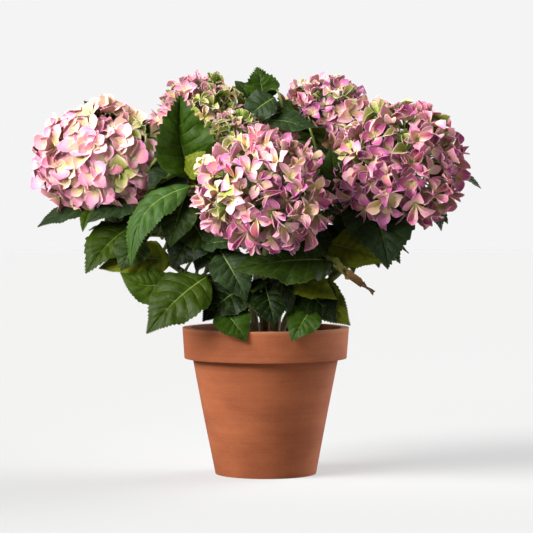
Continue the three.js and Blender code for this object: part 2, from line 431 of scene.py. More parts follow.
def fired_clay(settings):
    """Terracotta, thrown and fired unglazed: dry and grainy, with faint turning lines."""
    made, tree, shader = material(
        "terracotta_unglazed", Roughness=0.78, IOR=1.5, Specular_IOR_Level=0.25
    )
    clay, scorched, bloom = settings.clay, settings.scorched, settings.bloom
    place = node(tree, "TexCoord", out="Object")
    height = node(tree, "SeparateXYZ", [place], out=2)

    # Firing leaves broad clouds of colour about 60 mm across, drawn out round the pot.
    stretched = node(tree, "Mapping", {"Vector": place, "Scale": (1, 1, 2.2)})
    noise = {"Vector": stretched, "Scale": 16, "Detail": 5, "Roughness": 0.55}
    cloud = node(tree, "MapRange", {0: node(tree, "TexNoise", noise), 1: 0.34, 2: 0.68})
    colour = node(tree, "Mix", {0: cloud, 6: scorched, 7: clay}, **RGBA)

    # Turning lines follow the wall round, 1 to 4 mm apart.
    rings = node(tree, "Mapping", {"Vector": place, "Scale": (3, 3, 420)})
    lines = node(tree, "TexNoise", {"Vector": rings, "Scale": 1, "Detail": 3, "Roughness": 0.6})
    line = node(tree, "MapRange", {0: lines, 1: 0.35, 2: 0.7, 4: 0.09})
    colour = node(tree, "Mix", {0: line, 6: colour, 7: bloom}, **RGBA)

    # Grog shows as specks about 1 mm across, light and dark.
    noise = {"Vector": place, "Scale": 900, "Detail": 2, "Roughness": 0.7}
    grains = node(tree, "TexNoise", noise)
    speck = node(tree, "MapRange", {0: grains, 1: 0.56, 2: 0.74, 4: 0.35})
    colour = node(tree, "Mix", {0: speck, 6: colour, 7: bloom}, **RGBA)
    dark = node(tree, "MapRange", {0: grains, 1: 0.42, 2: 0.28, 4: 0.4})
    colour = node(tree, "Mix", {0: dark, 6: colour, 7: scorched}, **RGBA)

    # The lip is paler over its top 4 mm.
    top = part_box("pot")[1].z
    lip = node(tree, "MapRange", {0: height, 1: top - 4 * MM, 2: top, 4: 0.4})
    colour = node(tree, "Mix", {0: lip, 6: colour, 7: bloom}, **RGBA)
    tree.links.new(colour, shader["Base Color"])

    turned = node(tree, "Math", [lines, 0.8], operation="MULTIPLY")
    relief = node(tree, "Math", [grains, 0.5, turned], operation="MULTIPLY_ADD")
    bump = node(tree, "Bump", {"Height": relief, "Strength": 0.3, "Distance": 0.4 * MM})
    tree.links.new(bump, shader["Normal"])
    return made


def potting_mix(settings):
    """Damp peat and bark fines: nearly black, with crumbs about 3 mm across."""
    made, tree, shader = material(
        "potting_mix_damp", Roughness=0.92, IOR=1.45, Specular_IOR_Level=0.2
    )
    place = node(tree, "TexCoord", out="Object")
    noise = {"Vector": place, "Scale": 330, "Detail": 4, "Roughness": 0.65}
    crumbs = node(tree, "TexNoise", noise)
    patch = node(tree, "MapRange", {0: crumbs, 1: 0.4, 2: 0.72})
    tones = node(tree, "Mix", {0: patch, 6: settings.peat, 7: settings.bark}, **RGBA)
    tree.links.new(tones, shader["Base Color"])
    bump = node(tree, "Bump", {"Height": crumbs, "Strength": 0.8, "Distance": 1.5 * MM})
    tree.links.new(bump, shader["Normal"])
    return made


def two_tones(name, colour, other, grain, **sockets):
    """Plain stuff in two tones, in patches of a grain's size: bark chips, perlite, green stalks."""
    made, tree, shader = material(name, **sockets)
    place = node(tree, "TexCoord", out="Object")
    noise = node(tree, "TexNoise", {"Vector": place, "Scale": 1 / grain, "Detail": 3})
    patch = node(tree, "MapRange", {0: noise, 1: 0.35, 2: 0.68})
    tones = node(tree, "Mix", {0: patch, 6: colour, 7: other}, **RGBA)
    tree.links.new(tones, shader["Base Color"])
    return made


def cane_skin(settings, foot, head):
    """Hydrangea cane: smooth green skin that turns to thin, flaky tan bark towards its foot."""
    made, tree, shader = material("cane_skin", Roughness=0.55, IOR=1.45)
    young, old = settings.young_wood, settings.old_wood
    place = node(tree, "TexCoord", out="Object")
    height = node(tree, "SeparateXYZ", [place], out=2)
    streaks = node(tree, "Mapping", {"Vector": place, "Scale": (700, 700, 90)})
    fibres = node(tree, "TexNoise", {"Vector": streaks, "Scale": 1, "Detail": 3})
    youth = node(tree, "MapRange", {0: height, 1: foot, 2: head, 3: -0.1, 4: 0.9})
    green = node(tree, "Math", [fibres, 0.5, youth], operation="MULTIPLY_ADD", use_clamp=True)
    colour = node(tree, "Mix", {0: green, 6: old, 7: young}, **RGBA)
    # Lenticels are corky flecks, 1 to 2 mm long.
    flecks = node(tree, "TexVoronoi", {"Vector": place, "Scale": 260})
    fleck = node(tree, "MapRange", {0: flecks, 1: 0.24, 2: 0.12, 4: 0.6})
    colour = node(tree, "Mix", {0: fleck, 6: colour, 7: old}, **RGBA)
    tree.links.new(colour, shader["Base Color"])
    bump = node(tree, "Bump", {"Height": fibres, "Strength": 0.4, "Distance": 0.6 * MM})
    tree.links.new(bump, shader["Normal"])
    return made


def blade_place(tree, tiles, tile):
    """How far out (0 to 1) and along (0 to 1) a blade, and both as a place, from its map tile."""
    spot = node(tree, "UVMap", uv_map="OFBake")
    low, size = tiles.corner(np.asarray(tile))
    start = (-low[0] / size[0], -low[1] / size[1], 0)
    scale = (1 / size[0], 1 / size[1], 1)
    inside = node(tree, "Mapping", {"Vector": spot, "Location": start, "Scale": scale})
    across = node(tree, "SeparateXYZ", [inside], out=0)
    across = node(tree, "Math", [across, 2.0, -1.0], operation="MULTIPLY_ADD")
    out = node(tree, "Math", [across], operation="ABSOLUTE")
    return out, node(tree, "SeparateXYZ", [inside], out=1), inside


SIDE_VEINS = 8  # pairs of side veins along a blade


def leaf_skin(name, tiles, tile, colour, vein, under=False):
    """Hydrangea leaf: a thin waxy skin over quilted green flesh, with a pale net of veins."""
    made, tree, shader = material(
        name,
        Roughness=0.6 if under else 0.46,
        IOR=1.45,
        Specular_IOR_Level=0.06 if under else 0.11,
    )
    out, along, inside = blade_place(tree, tiles, tile)

    # The flesh is mottled in patches about 10 mm across.
    mottle = node(tree, "TexNoise", {"Vector": inside, "Scale": 9, "Detail": 4})
    patch = node(tree, "MapRange", {0: mottle, 1: 0.3, 2: 0.75})
    darker = tuple(c * 0.72 for c in colour)
    lighter = tuple(min(1.0, c * 1.25) for c in colour)
    flesh = node(tree, "Mix", {0: patch, 6: darker, 7: lighter}, **RGBA)

    # A net of small veins, its meshes about 2 mm across, puffs the flesh up between them.
    net_place = node(tree, "Mapping", {"Vector": inside, "Scale": (24, 42, 1)})
    net = node(tree, "TexVoronoi", {"Vector": net_place, "Scale": 1}, feature="SMOOTH_F1")
    mesh = node(tree, "MapRange", {0: net, 1: 0.35, 2: 0.8})
    amount = node(tree, "Math", [mesh, 0.3 if under else 0.14], operation="MULTIPLY")
    flesh = node(tree, "Mix", {0: amount, 6: flesh, 7: vein}, **RGBA)

    # Side veins taper from 0.8 mm at the midrib and fade before they reach the teeth.
    step = node(tree, "Math", [along, float(SIDE_VEINS)], operation="MULTIPLY")
    nearness = node(tree, "Math", [step, 0.5], operation="PINGPONG")
    width = node(tree, "Math", [out, -0.05, 0.075], operation="MULTIPLY_ADD")
    side = node(tree, "MapRange", {0: nearness, 1: width, 2: 0.0})
    fade = node(tree, "Math", [out, -0.6, 1.0], operation="MULTIPLY_ADD")
    side = node(tree, "Math", [side, fade], operation="MULTIPLY")
    rib = node(tree, "MapRange", {0: out, 1: 0.055, 2: 0.02})
    veins = node(tree, "Math", [side, rib], operation="MAXIMUM")
    strength = node(tree, "Math", [veins, 0.8 if under else 0.5], operation="MULTIPLY")
    flesh = node(tree, "Mix", {0: strength, 6: flesh, 7: vein}, **RGBA)

    # The cut edge is a thin pale line.
    margin = node(tree, "MapRange", {0: out, 1: 0.965, 2: 1.0, 4: 0.25})
    flesh = node(tree, "Mix", {0: margin, 6: flesh, 7: vein}, **RGBA)
    tree.links.new(flesh, shader["Base Color"])

    puffed = node(tree, "Math", [mesh, -0.5], operation="MULTIPLY")
    sunk = node(tree, "Math", [veins, -0.8, puffed], operation="MULTIPLY_ADD")
    inputs = {"Height": sunk, "Strength": 0.55, "Distance": 0.7 * MM}
    tree.links.new(node(tree, "Bump", inputs, invert=under), shader["Normal"])
    return made


def sepal_skin(name, tiles, tile, heart, body, edge):
    """Hydrangea sepal: matt, thin as paper, its tint deepening from the heart to the edge."""
    made, tree, shader = material(
        name,
        Roughness=0.6,
        IOR=1.4,
        Specular_IOR_Level=0.25,
        Subsurface_Weight=0.7,
        Subsurface_Radius=(1.0, 0.7, 0.6),
        Subsurface_Scale=0.6 * MM,
    )
    out, along, inside = blade_place(tree, tiles, tile)

    # Uneven patches of tint, about 5 mm across, and more of the edge's tint further out.
    blotch = node(tree, "TexNoise", {"Vector": inside, "Scale": 3.5, "Detail": 3})
    spread = node(tree, "Math", [out, 2.0], operation="POWER")
    spread = node(tree, "Math", [spread, 0.3, -0.2], operation="MULTIPLY_ADD")
    spread = node(tree, "Math", [blotch, 0.4, spread], operation="MULTIPLY_ADD")
    depth = node(tree, "Math", [along, 0.85, spread], operation="MULTIPLY_ADD")
    stops = [(0.12, heart), (0.5, body), (1.0, edge)]
    tint = node(tree, "ValToRGB", [depth], stops=stops)

    # Veins fan out from the heart about 2.5 mm apart.
    fan = node(tree, "Math", [out, 0.18], operation="PINGPONG")
    vein = node(tree, "MapRange", {0: fan, 1: 0.06, 2: 0.0, 4: 0.22})
    tint = node(tree, "Mix", {0: vein, 6: tint, 7: edge}, **RGBA)

    # The margin is thin and clear; it is painted pale as a painted highlight, standing in for light that
    # catches the edge and shines through it.
    light = tuple(blend(c, 0.9, 0.6) for c in body)
    margin = node(tree, "MapRange", {0: out, 1: 0.9, 2: 0.97, 4: 0.5})
    tint = node(tree, "Mix", {0: margin, 6: tint, 7: light}, **RGBA)
    tree.links.new(tint, shader["Base Color"])
    return made


# ---- The plant's frame --------------------------------------------------------------------


def node_box(name):
    """Centre and half sizes of a CAD node."""
    low, high = (np.array(corner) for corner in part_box(name))
    return (low + high) / 2, (high - low) / 2


# Where each cane starts: its angle and distance from the plant's axis, in degrees and metres.
CANES = {
    "front": (-90, 0.025),
    "left": (185, 0.026),
    "right": (-25, 0.026),
    "top_left": (150, 0.012),
    "top_right": (25, 0.012),
    "young": (-100, 0.009),
    "back_left": (135, 0.027),
    "back": (95, 0.024),
    "back_right": (52, 0.027),
}


CANE_FOOT = 5 * MM  # height in the rootstock where a cane starts
CANE_ENTRY = 0.8  # how far below its middle a cane enters its head, as a share of its half height
CANE_LEAN = 0.97  # where it enters, as a share of the head's distance from the plant's axis
CANE_STEPS = 48

# How a cane arches: shares of its rise and of its spread at its two control points.
UPRIGHT, OUTWARD = 0.45, 0.1
INWARD, SAG = 0.22, 0.1


def cane_path(name, steps=CANE_STEPS):
    """Points up one cane, from the rootstock into the middle of its flower head."""
    angle, distance = CANES[name]
    centre, half = node_box(f"bloom_{name}")
    turn = math.radians(angle)
    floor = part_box("rootstock")[0].z + CANE_FOOT
    root = np.array([distance * math.cos(turn), distance * math.sin(turn), floor])
    tip = centre * [CANE_LEAN, CANE_LEAN, 1] - [0, 0, CANE_ENTRY * half[2]]
    rise = tip[2] - root[2]
    below = np.array([centre[0], centre[1], root[2]])
    first = blend(root + [0, 0, UPRIGHT * rise], below, OUTWARD)
    second = blend(tip, root, INWARD) - [0, 0, SAG * rise]
    t = np.linspace(0, 1, steps)[:, None]
    arch = (
        (1 - t) ** 3 * root
        + 3 * (1 - t) ** 2 * t * first
        + 3 * (1 - t) * t**2 * second
        + t**3 * tip
    )
    entry = np.linspace(0.15, 1, 6)[:, None]
    return np.concatenate([arch, blend(tip, centre - [0, 0, 0.1 * half[2]], entry)])


def root_on_canes(point, below=10 * MM):
    """The nearest point of any cane to a leaf's base, a little below it."""
    reached = CANE_STEPS + 2  # leaves may grow from just inside a head, but not from its middle
    everything = np.concatenate([cane_path(name)[:reached] for name in CANES])
    wanted = point - np.array([0, 0, below])
    return everything[np.argmin(np.linalg.norm(everything - wanted, axis=1))]


# ---- Leaves -------------------------------------------------------------------------------

BLADE_ROWS = 48
BLADE_COLUMNS = 10
VEIN_SWEEP = 0.2  # how far forward a side vein meets the edge, as a share of the blade's length
# The outline rises with one power of the way along the blade and falls with another.
RISE_POWER, FALL_POWER = 0.72, 1.22
WIDEST = 0.371  # where along it the blade is widest
LAST_PHASE = 6.28  # the waves along a blade's edge start anywhere in a turn
LEAF_TILES = Tiles(3, 3)
LEAF_TINTS = ("deep", "mature", "light", "bluish", "olive", "fresh", "turning", "silvery", "under")
UNDER = LEAF_TINTS.index("under")


class Leaf:
    """One leaf: its tint, its blade's ends and width, the way it faces, and its blade's shape."""

    def __init__(self, tint, base, tip, width, facing, **shape):
        """Lengths are given in millimetres and kept in metres."""
        self.tint = tint
        self.base = np.array(base, float) * MM
        self.tip = np.array(tip, float) * MM
        self.width = width * MM
        self.facing = np.array(facing, float)
        self.shape = shape


def blade(leaf, bow=0.1, sway=0.0, fold=0.3, curl=-0.4, twist=0.0, teeth=24, bite=0.014,
          ripple=0.03, quilting=0.014, phase=0.0):
    """Grid of one leaf's blade, with its spots across and along, and its midrib.

    bow lifts the midrib and sway bends it sideways, as shares of the length. fold is each half's
    lift at the midrib and curl its turn from there to the edge, in radians. bite is the height of
    the teeth, ripple that of the edge's waves and quilting that of the flesh between the veins,
    as shares of the length.
    """
    base, tip = leaf.base, leaf.tip
    reach = np.linalg.norm(tip - base)
    along = unit(tip - base)
    up = unit(leaf.facing - along * np.dot(leaf.facing, along))
    right = np.cross(along, up)

    t = np.linspace(0, 1, BLADE_ROWS + 1)[:, None]
    s = np.linspace(-1, 1, BLADE_COLUMNS + 1)[None, :]
    out = np.abs(s)
    # Side veins sweep forward, so a row meets the edge nearer the tip than the midrib.
    swept = t + VEIN_SWEEP * np.sin(np.pi * t)
    u = t + (swept - t) * out**1.3
    outline = swept**RISE_POWER * (1 - swept) ** FALL_POWER
    outline = outline / (WIDEST**RISE_POWER * (1 - WIDEST) ** FALL_POWER)
    half = np.maximum(outline, 0.02) * leaf.width / 2

    spine_u = u[..., None]
    spine = base + along * reach * spine_u
    spine = spine + up * reach * bow * 4 * spine_u * (1 - spine_u)
    spine = spine + right * reach * sway * np.sin(np.pi * spine_u)
    slope = along + up * bow * 4 * (1 - 2 * spine_u) + right * sway * np.pi * np.cos(np.pi * spine_u)
    ahead = unit(slope)
    above = unit(up - ahead * np.sum(up * ahead, -1, keepdims=True))
    beside = np.cross(ahead, above)
    angle = twist * (spine_u - 0.3)
    above, beside = (
        above * np.cos(angle) - beside * np.sin(angle),
        beside * np.cos(angle) + above * np.sin(angle),
    )

    # Each half turns evenly from the midrib out; a curl of just 0 would divide by 0.
    bend = curl + 1e-4
    level = (np.sin(fold + bend * out) - np.sin(fold)) / bend
    lift = (np.cos(fold) - np.cos(fold + bend * out)) / bend
    # Teeth rise towards the tip and drop back, smaller at both ends of the blade.
    saw = np.zeros_like(t)
    period = BLADE_ROWS // teeth
    position = (np.arange(BLADE_ROWS + 1) % period) / max(period - 1, 1)
    saw[:, 0] = position * np.clip(np.minimum(t[:, 0] / 0.16, (1 - t[:, 0]) / 0.05), 0, 1)
    border = (out > 0.99) * saw
    # The edge waves slowly, and faster in the outer half; the flesh is puffed up between veins.
    wave = ripple * reach * out**2 * np.sin(2 * np.pi * 2.5 * u + phase + s)
    wave = wave + 0.5 * ripple * reach * out**3 * np.sin(2 * np.pi * 6 * u + 2.1 * phase - s)
    pads = np.abs(np.sin(np.pi * SIDE_VEINS * t)) ** 0.7 * np.sin(np.pi * out**0.8)
    gutter = 0.35 * np.exp(-((s / 0.1) ** 2))
    relief = quilting * reach * (pads * np.minimum(1, 6 * half / reach) - gutter)

    sideways = np.sign(s) * (half * level + border * bite * reach)
    height = half * lift + wave * np.minimum(1, 4 * half / reach) + relief
    forward = border * bite * 0.8 * reach
    grid = (
        spine
        + beside * sideways[..., None]
        + above * height[..., None]
        + ahead * forward[..., None]
    )
    centre = BLADE_COLUMNS // 2
    return grid, s, t, (grid[:, centre], above[:, centre])


# Leaves that show at the front and the crown, by the mass that they stand in.
LEAVES = {
    "leaves_left_front": [
        Leaf("fresh", (-82, -72, 338), (-94, -94, 427), 76, (0.2, -1, 0.05), bow=-0.04, fold=0.8,
             curl=-0.45, teeth=12, bite=0.036, ripple=0.035, sway=-0.06, quilting=0.024),
        Leaf("turning", (-84, -84, 337), (-66, -98, 366), 30, (-0.5, -0.75, 0.4), fold=0.4,
             teeth=12, bite=0.02),
        Leaf("silvery", (-83, -74, 328), (-148, -97, 242), 46, (-0.4, -0.7, 0.6), bow=0.16, sway=0.13,
             fold=0.2, curl=-0.9, bite=0.02, ripple=0.02, quilting=0.024),
        Leaf("mature", (-89, -58, 318), (-106, -76, 260), 44, (-0.1, -0.9, 0.4),
             quilting=0.02),
        Leaf("bluish", (-96, -40, 350), (-130, -60, 318), 46, (0, -0.9, 0.4)),
    ],
    "leaves_left": [
        Leaf("bluish", (-170, -12, 306), (-256, -42, 282), 46, (0.05, -0.5, 0.85), curl=-0.5),
        Leaf("bluish", (-138, -30, 308), (-199, -64, 287), 46, (0, -0.6, 0.8), bow=0.12, quilting=0.02),
        Leaf("olive", (-150, -28, 283), (-200, -70, 231), 58, (-0.35, -0.8, 0.5), teeth=12,
             bite=0.018, quilting=0.026),
        Leaf("mature", (-140, -66, 270), (-160, -86, 234), 42, (-0.1, -0.9, 0.35), bow=0.14, fold=0.15),
        Leaf("turning", (-106, -46, 246), (-186, -60, 236), 52, (-0.3, -0.75, 0.55), bow=0.08,
             quilting=0.022),
        Leaf("light", (-102, -66, 226), (-161, -80, 232), 46, (-0.1, -0.9, 0.35), bow=0.06, fold=0.35,
             curl=-0.9, twist=0.2, sway=-0.22),
        Leaf("mature", (-186, 10, 400), (-206, -8, 424), 22, (0, -0.9, 0.4)),
        Leaf("olive", (-125, -10, 290), (-186, -40, 254), 52, (-0.2, -0.7, 0.7), teeth=12,
             bite=0.018),
        Leaf("light", (-196, -44, 300), (-204, -60, 277), 15, (-0.3, -0.9, 0.3), fold=0.7),
    ],
    "leaves_low_left": [
        Leaf("olive", (-66, -74, 227), (-131, -104, 166), 66, (-0.2, -0.85, 0.5), fold=0.22,
             curl=-0.5, quilting=0.022),
    ],
    "leaves_inner_left": [
        Leaf("deep", (-70, -34, 288), (-104, -60, 236), 62, (-0.1, -0.9, 0.4)),
        Leaf("mature", (-88, -44, 299), (-60, -58, 246), 46, (0.1, -0.9, 0.3), bow=0.08),
        Leaf("bluish", (-52, -26, 284), (-78, -48, 232), 50, (0, -0.9, 0.4)),
    ],
    "leaves_front": [
        Leaf("deep", (-20, -58, 216), (-70, -82, 178), 58, (-0.1, -0.75, 0.65), bow=0.12),
        Leaf("fresh", (-48, -78, 192), (-22, -98, 157), 44, (0.05, -0.8, 0.6)),
        Leaf("deep", (-4, -68, 226), (9, -98, 174), 58, (0.1, -0.8, 0.6), quilting=0.02),
        Leaf("bluish", (-50, -76, 256), (-21, -100, 202), 48, (0.05, -0.85, 0.5), bow=0.08, ripple=0.05),
        Leaf("mature", (75, -82, 246), (-36, -108, 236), 74, (0, -0.7, 0.7), bow=0.06, curl=-0.5,
             quilting=0.02),
        Leaf("bluish", (-69, -60, 262), (-10, -98, 262), 40, (0, -0.6, 0.8), bow=0.08),
    ],
    "leaves_inner_right": [
        Leaf("bluish", (34, -28, 276), (78, -54, 241), 46, (0.1, -0.85, 0.5)),
        Leaf("mature", (96, -16, 300), (98, -34, 256), 44, (0.2, -0.95, 0.2), bow=0.08),
    ],
    "leaves_right_low": [
        Leaf("deep", (36, -56, 216), (78, -78, 177), 52, (0.0, -0.8, 0.6), bow=0.12),
        Leaf("turning", (27, -62, 224), (78, -88, 203), 40, (0.1, -0.8, 0.6), curl=-0.6),
        Leaf("turning", (38, -48, 216), (94, -70, 173), 50, (-0.1, -0.85, 0.5)),
        Leaf("fresh", (52, -76, 192), (28, -97, 157), 40, (0, -0.8, 0.6)),
    ],
    "leaves_right": [
        Leaf("bluish", (119, -22, 312), (135, -86, 238), 84, (0.1, -0.8, 0.6), teeth=12,
             bite=0.02, curl=-0.3, quilting=0.024),
        Leaf("turning", (72, -46, 263), (133, -72, 243), 50, (-0.25, -0.8, 0.55), bow=0.08,
             quilting=0.02),
    ],
    "leaves_middle": [
        Leaf("mature", (85, -32, 308), (72, -50, 371), 42, (-0.3, -0.95, 0.1), bow=0.06),
        Leaf("bluish", (97, -20, 298), (96, -38, 345), 40, (-0.1, -0.95, 0.2), bow=0.06),
    ],
    "leaves_top": [
        Leaf("fresh", (-2, 14, 424), (-10, 16, 463), 38, (0.15, -0.9, 0.35), bow=0.06, fold=0.3, teeth=12,
             bite=0.045, ripple=0.07),
        Leaf("bluish", (10, -10, 428), (-26, -14, 400), 38, (-0.1, -0.9, 0.4), ripple=0.05),
        Leaf("bluish", (2, -8, 402), (61, -24, 384), 34, (0.05, -0.7, 0.75), bow=0.12),
        Leaf("mature", (-14, 60, 426), (-36, 78, 450), 20, (-0.2, -0.8, 0.6), bow=0.08),
    ],
    "leaves_right_side": [
        Leaf("fresh", (194, 0, 345), (244, -10, 325), 26, (0.1, -0.4, 0.9), bow=0.12, teeth=12,
             bite=0.018),
        Leaf("mature", (140, 20, 292), (196, 52, 296), 56, (0.3, 0.2, 0.9), bow=0.12),
        Leaf("olive", (134, 30, 296), (150, 86, 276), 58, (0.2, 0.5, 0.8), bow=0.12),
    ],
}

# Leaves on seeded side shoots, by mass: how many, their length in millimetres, how far out in
# the mass their tips reach, and the tints.
SHOOTS = {
    "leaves_left_front": (3, 62, 0.8, ("bluish", "mature")),
    "leaves_left": (0, 0, 0, ()),
    "leaves_low_left": (0, 0, 0, ()),
    "leaves_inner_left": (10, 66, 1.05, ("bluish", "deep", "mature")),
    "leaves_inner_right": (13, 68, 1.15, ("bluish", "deep", "mature")),
    "leaves_front": (3, 56, 0.8, ("deep",)),
    "leaves_right_low": (2, 50, 0.8, ("deep",)),
    "leaves_right": (2, 60, 0.6, ("mature", "bluish", "fresh")),
    "leaves_right_side": (3, 76, 0.6, ("mature", "bluish")),
    "leaves_top": (4, 48, 0.8, ("mature", "bluish")),
    "leaves_middle": (6, 58, 0.9, ("bluish", "mature")),
    "leaves_back_left": (14, 96, 1.0, ("mature", "light", "olive", "bluish")),
    "leaves_back": (15, 98, 1.0, ("mature", "fresh", "bluish", "light")),
    "leaves_back_right": (13, 90, 0.95, ("mature", "bluish", "light", "olive")),
    "leaves_back_low": (12, 88, 1.1, ("mature", "light", "olive", "turning")),
}

LEAF_SPREAD = 0.6  # width of a leaf as a share of its length
LEAVES_ON_SHOOT = 5
SHOOT_REACH = 0.3  # how far from the middle of its mass a shoot ends
SHOOT_LIFT = 0.18  # how far a shoot arches up, as a share of its length


def spread_directions(count, random):
    """Directions spread evenly all round, leaving out the underside, and shaken a little."""
    whole = int(count / 0.97)
    i = np.arange(whole) + 0.5
    z = 1 - 2 * i / whole
    around = i * np.pi * (3 - math.sqrt(5))
    ring = np.sqrt(1 - z**2)
    directions = np.stack([ring * np.cos(around), ring * np.sin(around), z], -1)
    directions = directions[directions[:, 2] > -0.94]
    return unit(directions + random.normal(size=directions.shape) * 0.05)


def shoot_leaves(mass, random):
    """Seeded side shoots of one mass: each twig's path, and the leaves fanned out from them."""
    count, leaf_length, keep, tints = SHOOTS[mass]
    if not count:
        return [], []
    centre, half = node_box(mass)
    outward = unit(centre * [1, 1, 0])
    around = spread_directions(3 * count, random)
    around = around[around @ outward > -0.1]
    around = around[random.permutation(len(around))[:count]]

    twigs = []
    steps = np.linspace(0, 1, 14)[:, None]
    for aim in centre + half * around[::LEAVES_ON_SHOOT] * SHOOT_REACH:
        start = root_on_canes(aim, 30 * MM)
        lift = np.array([0, 0, SHOOT_LIFT * np.linalg.norm(aim - start)])
        twigs.append(arc(start, blend(start, aim, 0.5) + lift, aim, steps))
    joints = np.concatenate(twigs)

    leaves = []
    for direction in around:
        tip = centre + half * direction * keep * random.uniform(0.85, 1.05)
        droop = [0, 0, random.uniform(0.1, 0.7)]
        along = unit(direction * [1, 1, 0.5] - droop)
        reach = leaf_length * MM * random.uniform(0.75, 1.1)
        reach = min(reach, 1.5 * np.linalg.norm(tip - centre))
        base = tip - along * reach
        facing = unit([0, 0, 1.0] + 0.7 * direction + 0.25 * random.normal(size=3))
        tint = tints[random.integers(len(tints))]
        width = reach * LEAF_SPREAD * random.uniform(0.9, 1.15)
        shape = {
            "bow": random.uniform(0.04, 0.16),
            "sway": random.uniform(-0.08, 0.08),
            "fold": random.uniform(0.15, 0.45),
            "curl": random.uniform(-0.8, -0.2),
            "twist": random.uniform(-0.4, 0.4),
            "teeth": 24 if random.random() < 0.7 else 12,
            "phase": random.uniform(0, LAST_PHASE),
            "joint": joints[np.argmin(np.linalg.norm(joints - base, axis=1))],
        }
        leaves.append(Leaf(tint, base / MM, tip / MM, width / MM, facing, **shape))
    return twigs, leaves


# ---- Flower heads -------------------------------------------------------------------------

SEPAL_ROWS = np.array([0, 0.15, 0.32, 0.5, 0.68, 0.85, 1.0])
SEPAL_COLUMNS = np.array([-1, -0.5, 0, 0.5, 1.0])
FLOWER_TILES = Tiles(3, 3)
SEPAL_TINTS = tuple(SEPALS)
BUD = len(SEPAL_TINTS)
# The back of a sepal is duller than its face: green or dusky.
BACKS = np.array(
    [SEPAL_TINTS.index("green" if tint in ("green", "lime") else "dusky") for tint in SEPAL_TINTS]
)

# By head: florets on the outside, sepal size as a share of the full-grown one, how flat they
# open, the share of each tint from the greenest to the deepest, and where the deepest gather.
HEADS = {
    "front": (144, 1.0, 0.15,
              {"lime": 7, "cream": 22, "pale": 22, "pink": 25, "mauve": 12, "deep": 12},
              (0.5, -0.1, -0.8)),
    "left": (118, 1.16, 0.85,
             {"lime": 7, "cream": 24, "pale": 32, "pink": 37},
             (-0.7, 0, -0.5)),
    "right": (124, 1.04, 0.3,
              {"lime": 8, "cream": 10, "pale": 5, "pink": 28, "mauve": 30, "deep": 19},
              (0.3, -0.2, -0.9)),
    "top_left": (92, 0.82, 0.3,
                 {"green": 18, "lime": 28, "cream": 14, "dusky": 14, "pink": 26},
                 (-0.6, 0, 0.3)),
    "top_right": (88, 0.88, 0.4,
                  {"lime": 25, "cream": 21, "pale": 9, "pink": 28, "mauve": 17},
                  (0.6, 0, 0.4)),
    "young": (56, 0.7, 0.3, {"green": 50, "lime": 34, "dusky": 16}, (0, 0, 1)),
    "back_left": (94, 1.04, 0.6,
                  {"lime": 12, "cream": 24, "pale": 26, "pink": 28, "mauve": 10},
                  (-0.5, 0.5, -0.6)),
    "back": (88, 1.0, 0.4,
             {"lime": 14, "cream": 22, "pale": 20, "pink": 28, "mauve": 10, "deep": 6},
             (0, 0.6, -0.7)),
    "back_right": (94, 1.04, 0.5,
                   {"lime": 8, "cream": 18, "pale": 14, "pink": 30, "mauve": 20, "deep": 10},
                   (0.5, 0.4, -0.7)),
}

# Some heads are dented where they press on another, or bulge into a gap: which way, how far.
DENTS = {
    "front": [((0.95, 0, 0.3), 0.24)],
    "right": [((-0.9, -0.2, 0.3), 0.08)],
    "left": [((0.8, 0, 0.55), -0.14), ((-0.7, 0, 0.7), 0.1)],
    "top_left": [((-0.8, 0, -0.3), -0.14)],
}

INNER_SHARE = 0.24  # florets under the outer ones, as a share of their number
# Tints of the florets inside a head: green and dusky in furled heads, darkening the gaps as painted
# shade, and lime, cream and pale in open heads, lightening the gaps as painted light.
INNER_SHARES = {
    "open": {"lime": 3, "cream": 4, "pale": 3},
    "furled": {"green": 5, "dusky": 5},
}
SEPAL_INSET = 0.42  # how far under the head's surface a floret's heart lies, in sepal lengths
# Furled florets look outwards, and those that have opened flat have turned to the light.
FURLED_LEAN = np.array([0, -0.05, 0.15])
OPEN_LEAN = np.array([-0.4, -0.2, 0.25])
# In half sizes of the head: nearly all sepals end within the first, and none far past the second.
HEAD_FILL, HEAD_LIMIT = 1.07, 1.1
BUD_RADIUS = 1.7 * MM


def deal_tints(directions, shares, deepest, random):
    """One tint for each floret, so that the deepest ones gather on one side of the head."""
    names = list(shares)
    total = sum(shares.values())
    order = directions @ unit(deepest) * 0.5 + random.normal(size=len(directions)) * 0.5
    rank = np.argsort(np.argsort(order)) / len(order)
    limits = np.cumsum([shares[name] / total for name in names])
    chosen = np.minimum(np.searchsorted(limits, rank), len(names) - 1)
    return np.array([SEPAL_TINTS.index(names[i]) for i in chosen])


